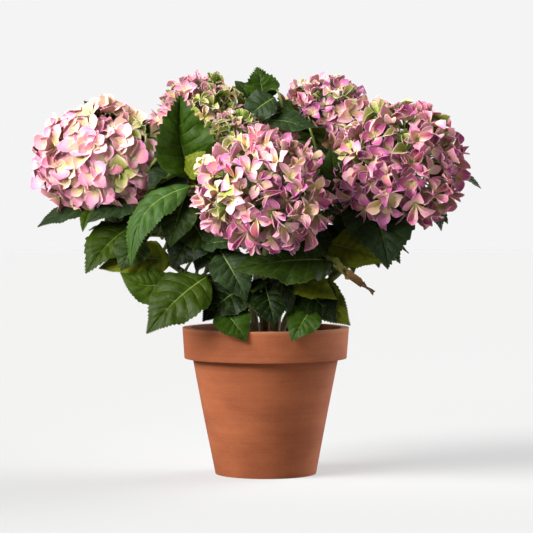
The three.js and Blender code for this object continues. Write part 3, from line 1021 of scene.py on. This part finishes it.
def sepal_grids(centres, facings, sizes, openness, random):
    """Grids of the four sepals of each floret; openness is 0 for furled and 1 for flat ones."""
    count = len(centres)
    first = unit(np.cross(facings, random.normal(size=(count, 3))))
    second = np.cross(facings, first)
    quarter = np.arange(4) * np.pi / 2
    turn = quarter[None, :] + random.uniform(-0.2, 0.2, (count, 4))
    along = first[:, None] * np.cos(turn)[..., None] + second[:, None] * np.sin(turn)[..., None]
    facing = np.broadcast_to(facings[:, None], along.shape)
    side = np.cross(along, facing)
    shape = (count, 4, 1, 1)
    shut = 1 - openness
    # A floret's cupping is shared by its sepals. Each sepal starts and bends at its own angles,
    # and is folded like a boat, twisted and fluttered by its own amounts.
    reach = (sizes[:, None] * random.uniform(0.84, 1.14, (count, 4))).reshape(shape)
    breadth = reach * random.uniform(0.54, 0.82, shape) * blend(0.92, 1.3, openness)
    cupping = random.uniform(0, 0.5 + 0.6 * shut, (count, 1, 1, 1))
    start = cupping + random.uniform(-0.1, 0.5, shape)
    bend = random.uniform(-2.1, 0.5, shape) * blend(0.6, 1.0, shut) + 1e-3
    boat = random.uniform(0.1, 2.1, shape) * blend(0.3, 1.0, shut)
    twist = random.uniform(-0.6, 0.6, shape)
    flutter = random.uniform(-0.35, 0.35, shape)

    t = SEPAL_ROWS[None, None, :, None]
    s = SEPAL_COLUMNS[None, None, None, :]
    # The outline is broadest near the middle, and its tip is round or pointed.
    peak = blend(0.44, 0.52, openness)
    point = random.uniform(0.85, 1.45, shape) * blend(0.7, 1.0, shut)
    broad = point * peak / (1 - peak)
    outline = t**broad * (1 - t) ** point / (peak**broad * (1 - peak) ** point)
    half = np.clip(outline, np.where(t < 0.5, 0.12, 0.04), 1) * breadth / 2
    forward = reach * (np.sin(start + bend * t) - np.sin(start)) / bend
    upward = reach * (np.cos(start) - np.cos(start + bend * t)) / bend
    across = s * half * (1 - 0.2 * boat**2 * np.abs(s))
    upward = upward + boat * half * np.abs(s) ** 1.5 + twist * half * s * t
    upward = upward + flutter * half * np.sin(3.1 * np.pi * t + 4 * boat) * s
    # Two opposite sepals lie over the other two, and all four leave room for the bud.
    raised = np.array([0.5, 0, 0.5, 0]).reshape(1, 4, 1, 1) * MM
    local = (
        along[:, :, None, None] * (forward + 0.9 * MM)[..., None]
        + side[:, :, None, None] * across[..., None]
        + facing[:, :, None, None] * (upward + raised)[..., None]
    )
    grids = centres[:, None, None, None] + local
    return grids.reshape(count * 4, len(SEPAL_ROWS), len(SEPAL_COLUMNS), 3)


def fit_head(grids, centre, half):
    """The scale that brings a head's sepals to its size, and each floret's last move inwards."""
    florets = (grids.reshape(len(grids) // 4, -1, 3) - centre) / half
    distance = np.linalg.norm(florets, axis=2)
    scale = min(1, HEAD_FILL / np.quantile(distance, 0.985))
    furthest = florets[np.arange(len(florets)), distance.argmax(axis=1)] * scale
    reach = np.linalg.norm(furthest, axis=1, keepdims=True)
    return scale, -furthest / reach * np.maximum(reach - HEAD_LIMIT, 0) * half


def add_buds(pile, centres, facings, radius, random):
    """The tiny round bud in the heart of each floret, as a lumpy six-sided bead."""
    # Height and radius of each ring, as shares of the bud's radius.
    rings = ((-0.6, 0.5), (0.1, 1.0), (0.9, 0.75), (1.3, 0.25))
    turn = np.linspace(0, 2 * np.pi, 6, endpoint=False)
    caps = np.array([[3, 2, 1, 0], [0, 5, 4, 3], [18, 19, 20, 21], [21, 22, 23, 18]])
    quads = np.concatenate([ring_faces(len(rings), len(turn)), caps])
    low, size = FLOWER_TILES.corner(np.asarray(BUD))
    for centre, facing in zip(centres, facings):
        first = unit(np.cross(facing, [0.3, 0.5, 0.8]))
        second = np.cross(facing, first)
        wide = radius * random.uniform(0.8, 1.2)
        points = np.array(
            [
                centre
                + facing * (rise * wide + 0.6 * MM)
                + (first * math.cos(a) + second * math.sin(a)) * spread * wide
                for rise, spread in rings
                for a in turn
            ]
        )
        around = (points - centre) @ np.stack([first, second], -1) / (2.6 * wide) + 0.5
        spots = low + np.clip(around, 0, 1) * size
        pile.add(points, quads, spots[quads], BUD)


# ---- Operators ----------------------------------------------------------------------------


def raise_profile(profile):
    """In edit mode, draws the selected disc up through each radius and height in turn."""
    radius, height = profile[0]
    for next_radius, next_height in profile[1:]:
        bpy.ops.mesh.extrude_region_move(
            TRANSFORM_OT_translate={"value": (0, 0, next_height - height)}
        )
        widen = next_radius / radius
        bpy.ops.transform.resize(
            value=(widen, widen, 1), center_override=(0, 0, next_height)
        )
        radius, height = next_radius, next_height


def start_disc(radius, height, sides):
    """A filled disc, open for editing with all of it selected."""
    bpy.ops.object.select_all(action="DESELECT")
    bpy.ops.mesh.primitive_circle_add(
        vertices=sides, radius=radius, fill_type="NGON", location=(0, 0, height)
    )
    bpy.ops.object.transform_apply(location=True)
    bpy.ops.object.mode_set(mode="EDIT")
    bpy.ops.mesh.select_all(action="SELECT")
    return bpy.context.object


def close_edit(sharp):
    """Leaves edit mode with every face outward, smooth except at sharp turns."""
    bpy.ops.mesh.select_all(action="SELECT")
    bpy.ops.mesh.remove_doubles(threshold=1e-6)
    bpy.ops.mesh.normals_make_consistent(inside=False)
    bpy.ops.object.mode_set(mode="OBJECT")
    bpy.ops.object.shade_smooth_by_angle(angle=math.radians(sharp))


def move_points(piece, shift):
    """Moves each of a piece's points by what shift gives for its place."""
    points = np.empty(len(piece.data.vertices) * 3)
    piece.data.vertices.foreach_get("co", points)
    points = points.reshape(-1, 3)
    piece.data.vertices.foreach_set("co", (points + shift(points)).ravel())
    piece.data.update()


def waves(points, seed, size, count=6):
    """A smooth value of about -1 to 1 for each point, changing over about the given size."""
    random = np.random.default_rng(seed)
    total = np.zeros(len(points))
    for _ in range(count):
        direction = unit(random.normal(size=3)) * 2 * np.pi / (size * random.uniform(0.6, 1.6))
        total += np.sin(points @ direction + random.uniform(0, 2 * np.pi))
    return total / math.sqrt(count)


# The pot's widths as shares of its rim's, at the body's top, the foot and the rim's lower edge.
BODY_WIDTH, FOOT_WIDTH, BAND_WIDTH = 83 / 95, 57.5 / 95, 92.5 / 95
POT_FLOOR = 11 * MM
POT_SIDES = 112
DRAINS = 3
DRAIN_RADIUS = 5 * MM
DRAIN_CIRCLE = 30 * MM  # the drain holes' distance from the pot's axis


class HYDRANGEA_OT_clay_pot(bpy.types.Operator):
    """Throw the clay pot, with its rim, lip and drain holes"""

    bl_idname = "hydrangea.clay_pot"
    bl_label = "Clay pot"

    def execute(self, context):
        s = context.scene.hydrangea_pot
        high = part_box("pot")[1]
        rim = high.x
        top = high.z
        rim_foot = top - s.rim_height
        body = rim * BODY_WIDTH
        base = rim * FOOT_WIDTH

        pot = start_disc(base, 0, POT_SIDES)
        pot.name = "clay_pot"
        wall = [(blend(base, body, i / 7), blend(0, rim_foot, i / 7)) for i in range(8)]
        band = [
            (blend(rim * BAND_WIDTH, rim, i / 3), blend(rim_foot, top, i / 3)) for i in range(4)
        ]
        inner_rim = rim - s.wall
        inner_foot = body - s.wall
        inside = [
            (blend(inner_rim, inner_foot, i / 3), blend(top, rim_foot, i / 3)) for i in range(4)
        ]
        cavity = [
            (blend(inner_foot, base - 7 * MM, i / 4), blend(rim_foot, POT_FLOOR, i / 4))
            for i in range(1, 5)
        ]
        raise_profile(wall + band + inside + cavity)
        close_edit(40)

        for i in range(DRAINS):
            turn = 2 * math.pi * i / DRAINS
            bpy.ops.mesh.primitive_cylinder_add(
                vertices=28,
                radius=DRAIN_RADIUS,
                depth=40 * MM,
                location=(DRAIN_CIRCLE * math.cos(turn), DRAIN_CIRCLE * math.sin(turn), 0),
            )
            drill = context.object
            pick(pot)
            cut = pot.modifiers.new("drain", "BOOLEAN")
            cut.operation = "DIFFERENCE"
            cut.object = drill
            bpy.ops.object.modifier_apply(modifier=cut.name)
            bpy.data.objects.remove(drill)

        rounding = pot.modifiers.new("edges", "BEVEL")
        rounding.width = s.edge
        rounding.segments = 4
        rounding.limit_method = "ANGLE"
        rounding.angle_limit = math.radians(35)
        bpy.ops.object.modifier_apply(modifier=rounding.name)
        bpy.ops.object.shade_smooth_by_angle(angle=math.radians(40))

        def thrown(points):
            """Hand pressure, as slow waves up and round the wall; the foot stays flat."""
            out = unit(points * [1, 1, 0])
            away = waves(points, 3, 110 * MM) * s.wobble * np.clip(points[:, 2] / (20 * MM), 0, 1)
            wall = np.linalg.norm(points[:, :2], axis=1) > 50 * MM
            return out * (away * wall)[:, None]

        move_points(pot, thrown)
        pot.data.materials.clear()
        pot.data.materials.append(fired_clay(s))
        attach(pot, "root")
        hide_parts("pot")
        return {"FINISHED"}


class HYDRANGEA_OT_potting_mix(bpy.types.Operator):
    """Fill the pot with potting mix, with loose crumbs on its surface"""

    bl_idname = "hydrangea.potting_mix"
    bl_label = "Potting mix"

    def execute(self, context):
        s = context.scene.hydrangea_mix
        low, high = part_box("soil")
        brim = high.x
        top = high.z
        edge = top - 4 * MM  # the bed falls this far to the pot's wall
        foot = 50 * MM
        fill = start_disc(foot, low.z, 72)
        fill.name = "potting_mix"
        side = [(foot, low.z), (blend(foot, brim, 0.5), blend(low.z, top, 0.5)), (brim, edge)]
        bed = [(brim * (1 - i / 11), blend(edge, top, min(1, i / 5))) for i in range(1, 11)]
        raise_profile(side + bed)
        close_edit(60)

        def lumpy(points):
            """Crumbs and hollows on the surface only."""
            surface = np.clip((points[:, 2] - top + 6 * MM) / (2 * MM), 0, 1)
            away = (waves(points, 5, 30 * MM) * 1.2 + waves(points, 6, 11 * MM) * 0.8) * MM
            return np.array([0, 0, 1.0]) * (np.minimum(away, 1.5 * MM) * surface)[:, None]

        move_points(fill, lumpy)
        fill.data.materials.append(potting_mix(s))
        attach(fill, "root")
        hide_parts("soil")

        random = np.random.default_rng(41)
        pile = Pile()
        for _ in range(s.crumbs):
            distance = (brim - 4 * MM) * math.sqrt(random.random())
            turn = random.uniform(0, 2 * np.pi)
            spot = np.array([distance * math.cos(turn), distance * math.sin(turn), top - 1.5 * MM])
            way = unit(random.normal(size=3) * [1, 1, 0.3])
            gritty = random.random() < 0.16
            long = (random.uniform(1.2, 2.2) if gritty else random.uniform(2, 6)) * MM
            path = spot + np.linspace(-0.5, 0.5, 4)[:, None] * way * long
            fat = random.uniform(0.5, 1.0, (4, 1)) * random.uniform(0.7, 1.3, (1, 6))
            fat = fat * np.array([0.55, 1, 1, 0.5])[:, None] * long * (0.5 if gritty else 0.28)
            add_tube(pile, path, fat, 6, int(gritty))
        bits = [
            two_tones("bark_chips", s.bark, s.peat, 2 * MM, Roughness=0.85),
            two_tones("perlite", s.grit, linear("#807768"), 2 * MM, Roughness=0.9),
        ]
        crumbs = pile.piece("bark_crumbs", bits, sharp=30)
        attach(crumbs, "root")
        return {"FINISHED"}


# Radius and height of each ring of the rootstock, as shares of its half width and its height.
STOCK_RINGS = (
    (0.98, 0), (1.0, 0.25), (0.94, 0.5), (0.8, 0.72), (0.62, 0.9), (0.4, 1.0), (0.15, 1.04)
)
LEAF_JOINTS = (0.22, 0.4, 0.56, 0.7, 0.82)  # where along a cane its leaf joints are
CANE_SIDES = 12
GREEN_ABOVE = 160 * MM  # height over the rootstock's foot where a cane's bark is nearly all green


class HYDRANGEA_OT_canes(bpy.types.Operator):
    """Grow the rootstock and a cane up to every flower head"""

    bl_idname = "hydrangea.canes"
    bl_label = "Canes"

    def execute(self, context):
        s = context.scene.hydrangea_canes
        centre, half = node_box("rootstock")
        bottom = centre[2] - half[2] - 2 * MM
        stock = start_disc(half[0] * STOCK_RINGS[0][0], bottom, 40)
        stock.name = "rootstock_wood"
        tall = 2 * half[2] + 1 * MM
        raise_profile([(half[0] * r, bottom + tall * h) for r, h in STOCK_RINGS])
        close_edit(70)

        def knotted(points):
            """Old wood swells in knots about 15 mm across."""
            out = unit(points - [0, 0, centre[2]])
            return out * (waves(points, 8, 16 * MM) * 1.6 * MM)[:, None]

        move_points(stock, knotted)
        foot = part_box("rootstock")[0].z
        skin = cane_skin(s, foot, foot + GREEN_ABOVE)
        stock.data.materials.append(skin)
        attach(stock, "root")
        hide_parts("rootstock")

        for number, name in enumerate(CANES):
            random = np.random.default_rng(60 + number)
            path = cane_path(name, 64)
            steps = np.linspace(0, 1, len(path))
            radius = blend(s.root_radius, s.tip_radius, steps)
            for joint in LEAF_JOINTS:
                radius = radius * (1 + s.joint_swelling * np.exp(-(((steps - joint) / 0.012) ** 2)))
            around = np.linspace(0, 2 * np.pi, CANE_SIDES, endpoint=False)
            ribs = 1 + 0.05 * np.sin(6 * around)[None, :]
            rough = 1 + 0.05 * random.normal(size=(len(path), CANE_SIDES)) * (1 - steps)[:, None]
            pile = Pile()
            add_tube(pile, path, radius[:, None] * ribs * rough, CANE_SIDES)
            cane = pile.piece(f"cane_bark_{name}", [skin], sharp=60)
            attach(cane, "root")
            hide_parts(f"cane_{name}")
        return {"FINISHED"}


class HYDRANGEA_OT_leaves(bpy.types.Operator):
    """Grow the leaves, their stalks and the side shoots that carry them"""

    bl_idname = "hydrangea.leaves"
    bl_label = "Leaves"

    def execute(self, context):
        s = context.scene.hydrangea_leaves
        canes = context.scene.hydrangea_canes
        skins = [
            leaf_skin(f"leaf_{tint}", LEAF_TILES, i, getattr(s, tint), s.vein, under=i == UNDER)
            for i, tint in enumerate(LEAF_TINTS)
        ]
        stalks = Pile()
        for number, mass in enumerate(SHOOTS):
            random = np.random.default_rng(200 + number)
            twigs, seeded = shoot_leaves(mass, random)
            for twig in twigs:
                add_tube(stalks, twig, np.linspace(2.2, 1.6, len(twig)) * MM, 8)
            blades = Pile()
            for leaf in LEAVES.get(mass, []) + seeded:
                shape = dict(leaf.shape)
                joint = shape.pop("joint", None)
                shape.setdefault("phase", random.uniform(0, LAST_PHASE))
                shape.setdefault("quilting", s.quilting)
                grid, across, along, (rib, above) = blade(leaf, **shape)
                tint = LEAF_TINTS.index(leaf.tint)
                add_sheets(
                    blades, grid[None], across, along, s.thickness, LEAF_TILES, tint, UNDER
                )
                self.add_stalk(stalks, leaf, joint, rib, above, s.thickness)
            piece = blades.piece(mass.replace("leaves", "blades"), skins, mapped=True)
            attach(piece, "root")
            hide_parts(mass)
        skin = two_tones("leaf_stalk", canes.petiole, linear("#647D32"), 17 * MM, Roughness=0.5)
        piece = stalks.piece("leaf_stalks", [skin], sharp=60)
        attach(piece, "root")
        return {"FINISHED"}

    def add_stalk(self, stalks, leaf, joint, rib, above, thickness):
        """A stalk from the cane or shoot to the blade, running on under it as the midrib."""
        start = root_on_canes(leaf.base) if joint is None else joint
        under = rib - above * thickness * 0.9
        bend = blend(start, under[0], 0.6) + unit(under[0] - under[6]) * 8 * MM
        stem = arc(start, bend, under[0], np.linspace(0, 1, 10)[:-1, None])
        vein = under[: BLADE_ROWS - 4 : 4]
        path = np.concatenate([stem, vein])
        thick = np.concatenate([np.linspace(2.0, 1.5, len(stem)), np.linspace(1.3, 0.35, len(vein))])
        add_tube(stalks, path, thick * MM * min(1, 0.5 + leaf.width / (90 * MM)), 6)


class HYDRANGEA_OT_flower_heads(bpy.types.Operator):
    """Open the flower heads, floret by floret, on their stalks"""

    bl_idname = "hydrangea.flower_heads"
    bl_label = "Flower heads"

    def execute(self, context):
        s = context.scene.hydrangea_flowers
        skins = [
            sepal_skin(
                f"sepal_{tint}",
                FLOWER_TILES,
                i,
                *(getattr(s, f"{tint}_{part}") for part in SEPAL_PARTS),
            )
            for i, tint in enumerate(SEPAL_TINTS)
        ]
        skins.append(two_tones("floret_bud", s.bud, linear("#9FB0A8"), 17 * MM, Roughness=0.5))
        stalks = Pile()
        for number, (name, (count, grown, openness, shares, deepest)) in enumerate(HEADS.items()):
            random = np.random.default_rng(700 + number)
            centre, half = node_box(f"bloom_{name}")
            directions = spread_directions(count, random)
            inner = spread_directions(int(count * INNER_SHARE), random)
            sepal = s.sepal * grown
            lumps = waves(directions, 800 + number, 1.4)
            depth = 1 - SEPAL_INSET * sepal / half.mean() + 0.04 * lumps
            depth = depth + random.normal(size=len(directions)) * 0.06
            for dent, amount in DENTS.get(name, []):
                depth = depth - amount * np.clip(directions @ unit(dent), 0, 1) ** 4
            nearest = blend(0.46, 0.74, openness)
            depth = np.concatenate([depth, random.uniform(nearest, nearest + 0.16, len(inner))])
            # Inner florets take painted shade in furled heads and painted light in open heads.
            inner_light_and_shade = INNER_SHARES["open" if openness > 0.5 else "furled"]
            tints = np.concatenate(
                [
                    deal_tints(directions, shares, deepest, random),
                    deal_tints(inner, inner_light_and_shade, deepest, random),
                ]
            )
            directions = np.concatenate([directions, inner])
            centres = centre + directions * half * depth[:, None]
            outward = unit(directions / half)
            loose = blend(0.44, 0.24, openness)
            lean = blend(FURLED_LEAN, OPEN_LEAN, openness**2)
            facings = unit(outward + random.normal(size=outward.shape) * loose + lean)
            sizes = sepal * random.uniform(0.82, 1.1, len(centres))
            grids = sepal_grids(centres, facings, sizes, openness, random)
            scale, nudge = fit_head(grids, centre, half)
            grids = centre + (grids - centre) * scale + np.repeat(nudge, 4, axis=0)[:, None, None]
            centres = centre + (centres - centre) * scale + nudge
            pile = Pile()
            add_sheets(
                pile,
                grids,
                SEPAL_COLUMNS[None, :],
                SEPAL_ROWS[:, None],
                s.thickness,
                FLOWER_TILES,
                np.repeat(tints, 4),
                np.repeat(BACKS[tints], 4),
            )
            add_buds(pile, centres, facings, BUD_RADIUS * grown, random)
            piece = pile.piece(f"florets_{name}", skins, mapped=True)
            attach(piece, "root")
            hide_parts(f"bloom_{name}")
            heart = centre - [0, 0, 0.1 * half[2]]
            for spot, facing in zip(centres, facings):
                back = spot - facing * random.uniform(9, 15) * MM
                middle = blend(back, heart, 0.45)
                path = np.array([spot, blend(spot, back, 0.6), middle, blend(heart, middle, 0.1)])
                add_tube(stalks, path, np.array([0.8, 0.7, 1.0, 1.5]) * MM, 4)
        skin = two_tones("flower_stalk", s.stalk, linear("#8A9A4E"), 17 * MM, Roughness=0.5)
        piece = stalks.piece("flower_stalks", [skin], sharp=60)
        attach(piece, "root")
        return {"FINISHED"}


WITHERED = Leaf(None, (59, -80, 252), (105, -82, 216), 46, (0.3, -0.9, 0.3), bow=-0.03, fold=1.1,
                curl=1.7, ripple=0.11, bite=0.012, teeth=12, phase=1.0)


class HYDRANGEA_OT_withered_leaf(bpy.types.Operator):
    """Hang the one spent leaf, rolled up and brown at its tip"""

    bl_idname = "hydrangea.withered_leaf"
    bl_label = "Withered leaf"

    def execute(self, context):
        tiles = Tiles(1, 1)
        made, tree, shader = material("leaf_withered", Roughness=0.7, IOR=1.45)
        _, along, inside = blade_place(tree, tiles, 0)
        # Patches about 10 mm across dry out first, and the tip before the neck.
        crumple = node(tree, "TexNoise", {"Vector": inside, "Scale": 5, "Detail": 4})
        further = node(tree, "Math", [along, 0.2], operation="SUBTRACT")
        dry = node(tree, "Math", [crumple, 0.6, further], operation="MULTIPLY_ADD")
        stops = [
            (0.15, linear("#42511C")),
            (0.45, linear("#7D7D32")),
            (0.65, linear("#7E602E")),
            (0.95, linear("#54361C")),
        ]
        tint = node(tree, "ValToRGB", [dry], stops=stops)
        tree.links.new(tint, shader["Base Color"])

        pile = Pile()
        grid, across, along, _ = blade(WITHERED, **WITHERED.shape)
        # The neck is rolled tight, and the dry end has opened out and torn.
        t = np.linspace(0, 1, BLADE_ROWS + 1)[:, None, None]
        midrib = grid[:, [BLADE_COLUMNS // 2]]
        grid = midrib + (grid - midrib) * (0.6 + t**3 / (1.05 - t))
        add_sheets(pile, grid[None], across, along, 0.5 * MM, tiles, 0, 0)
        piece = pile.piece("withered_blade", [made], mapped=True)
        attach(piece, "root")
        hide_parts("withered_leaf")
        return {"FINISHED"}


# Far lamps: degrees to the viewer's left and above the floor, softness in degrees, and colour.
LAMPS = {
    "key": (67, 34, 34, (1.0, 0.99, 0.98)),
    "fill": (-120, 20, 50, (1.0, 1.0, 1.0)),
}
SOFTBOX_PLACE, SOFTBOX_AIM = (-0.4, -0.54, 0.56), (-0.02, -0.06, 0.36)
FLOOR_ALBEDO = 0.32
ROOM_MIX = 0.36  # how much of the room's light on the floor comes from its pale side
PALE_SIDE = (0.75, 0.66, 0)  # behind the plant, to the right

CAMERA_PLACE = np.array([0.8, -2800, 335]) * MM
CAMERA_AIM = np.array([0.8, 0, 236]) * MM
LENS = 166.2


class HYDRANGEA_OT_studio(bpy.types.Operator):
    """Set the pale floor, the soft light and the camera"""

    bl_idname = "hydrangea.studio"
    bl_label = "Studio"

    def execute(self, context):
        s = context.scene.hydrangea_studio
        bpy.ops.object.select_all(action="DESELECT")
        lit = blend(s.front_room, s.back_room, ROOM_MIX)
        for name, (left, elevation, softness, colour) in LAMPS.items():
            power = getattr(s, name)
            self.add_lamp(left, elevation, power, softness, colour)
            lit += power * math.sin(math.radians(elevation)) / math.pi
        self.add_softbox(SOFTBOX_PLACE, SOFTBOX_AIM, s.softbox)

        bpy.ops.mesh.primitive_circle_add(vertices=96, radius=9, fill_type="NGON")
        floor = context.object
        floor.name = "studio_floor"
        made, tree, shader = material(
            "floor_paper",
            Roughness=1.0,
            Specular_IOR_Level=0,
            Base_Color=(FLOOR_ALBEDO, FLOOR_ALBEDO, FLOOR_ALBEDO, 1),
            Emission_Color=(1, 1, 1, 1),
        )
        # The sweep looks evenly pale but throws back little of its glow.
        seen = node(tree, "LightPath", out="Is Camera Ray")
        glow = s.backdrop - FLOOR_ALBEDO * lit
        shine = node(tree, "MapRange", {0: seen, 3: 0.0, 4: glow})
        tree.links.new(shine, shader["Emission Strength"])
        floor.data.materials.append(made)

        world = bpy.data.worlds.new("studio")
        context.scene.world = world
        world.use_nodes = True
        tree = world.node_tree
        way = node(tree, "TexCoord", out="Generated")
        toward = node(tree, "VectorMath", [way, PALE_SIDE], out="Value", operation="DOT_PRODUCT")
        room = {0: toward, 1: -0.3, 2: 0.9, 3: s.front_room, 4: s.back_room}
        seen = node(tree, "LightPath", out="Is Camera Ray")
        strength = node(tree, "MapRange", {0: seen, 3: node(tree, "MapRange", room), 4: s.backdrop})
        background = tree.nodes["Background"].inputs
        tree.links.new(strength, background["Strength"])
        background["Color"].default_value = (1, 1, 1, 1)

        away = CAMERA_AIM - CAMERA_PLACE
        drop = math.atan2(-away[2], away[1])
        bpy.ops.object.camera_add(location=CAMERA_PLACE, rotation=(math.pi / 2 - drop, 0, 0))
        camera = context.object
        camera.data.lens = LENS
        camera.data.sensor_width = 36
        camera.data.clip_end = 100
        context.scene.camera = camera
        context.scene.view_settings.view_transform = "Standard"
        return {"FINISHED"}

    def add_lamp(self, left, elevation, strength, softness, colour):
        """A far lamp, placed in degrees to the left of the viewer and above the floor."""
        turn = math.radians(left)
        bpy.ops.object.light_add(
            type="SUN",
            location=(-3 * math.sin(turn), -3 * math.cos(turn), 3),
            rotation=(math.radians(90 - elevation), 0, -turn),
        )
        lamp = bpy.context.object.data
        lamp.energy = strength
        lamp.angle = math.radians(softness)
        lamp.color = colour

    def add_softbox(self, place, aim, power):
        """A lamp close to the crown, whose grid keeps most of its light off the floor."""
        turn = (Vector(aim) - Vector(place)).to_track_quat("-Z", "Y")
        bpy.ops.object.light_add(type="AREA", location=place, rotation=turn.to_euler())
        lamp = bpy.context.object.data
        lamp.energy = power
        lamp.size = 0.35
        lamp.spread = math.radians(60)


class HYDRANGEA_PT_sidebar(bpy.types.Panel):
    """Everything that makes up the plant, in the order of making"""

    bl_label = "Potted hydrangea"
    bl_idname = "HYDRANGEA_PT_sidebar"
    bl_space_type = "VIEW_3D"
    bl_region_type = "UI"
    bl_category = "Hydrangea"

    def draw(self, context):
        for settings, operators in LAYOUT:
            box = self.layout.box()
            for operator in operators:
                box.operator(operator)
            group = getattr(context.scene, settings)
            for name in group.bl_rna.properties.keys():
                if name not in ("rna_type", "name"):
                    box.prop(group, name)


SETTINGS = {
    "hydrangea_pot": ClayPotSettings,
    "hydrangea_mix": PottingMixSettings,
    "hydrangea_canes": CaneSettings,
    "hydrangea_leaves": LeafSettings,
    "hydrangea_flowers": FlowerSettings,
    "hydrangea_studio": StudioSettings,
}
LAYOUT = (
    ("hydrangea_pot", ("hydrangea.clay_pot",)),
    ("hydrangea_mix", ("hydrangea.potting_mix",)),
    ("hydrangea_canes", ("hydrangea.canes",)),
    ("hydrangea_leaves", ("hydrangea.leaves", "hydrangea.withered_leaf")),
    ("hydrangea_flowers", ("hydrangea.flower_heads",)),
    ("hydrangea_studio", ("hydrangea.studio",)),
)
CLASSES = (
    *SETTINGS.values(),
    HYDRANGEA_OT_clay_pot,
    HYDRANGEA_OT_potting_mix,
    HYDRANGEA_OT_canes,
    HYDRANGEA_OT_leaves,
    HYDRANGEA_OT_withered_leaf,
    HYDRANGEA_OT_flower_heads,
    HYDRANGEA_OT_studio,
    HYDRANGEA_PT_sidebar,
)


def register():
    """Adds the settings, operators and panel."""
    for cls in CLASSES:
        bpy.utils.register_class(cls)
    for name, cls in SETTINGS.items():
        setattr(bpy.types.Scene, name, PointerProperty(type=cls))


def unregister():
    """Takes them away again."""
    for name in SETTINGS:
        delattr(bpy.types.Scene, name)
    for cls in reversed(CLASSES):
        bpy.utils.unregister_class(cls)


def main():
    """Builds the plant and its studio."""
    register()
    bpy.ops.hydrangea.clay_pot()
    bpy.ops.hydrangea.potting_mix()
    bpy.ops.hydrangea.canes()
    bpy.ops.hydrangea.leaves()
    bpy.ops.hydrangea.withered_leaf()
    bpy.ops.hydrangea.flower_heads()
    bpy.ops.hydrangea.studio()


if __name__ == "__main__":
    main()
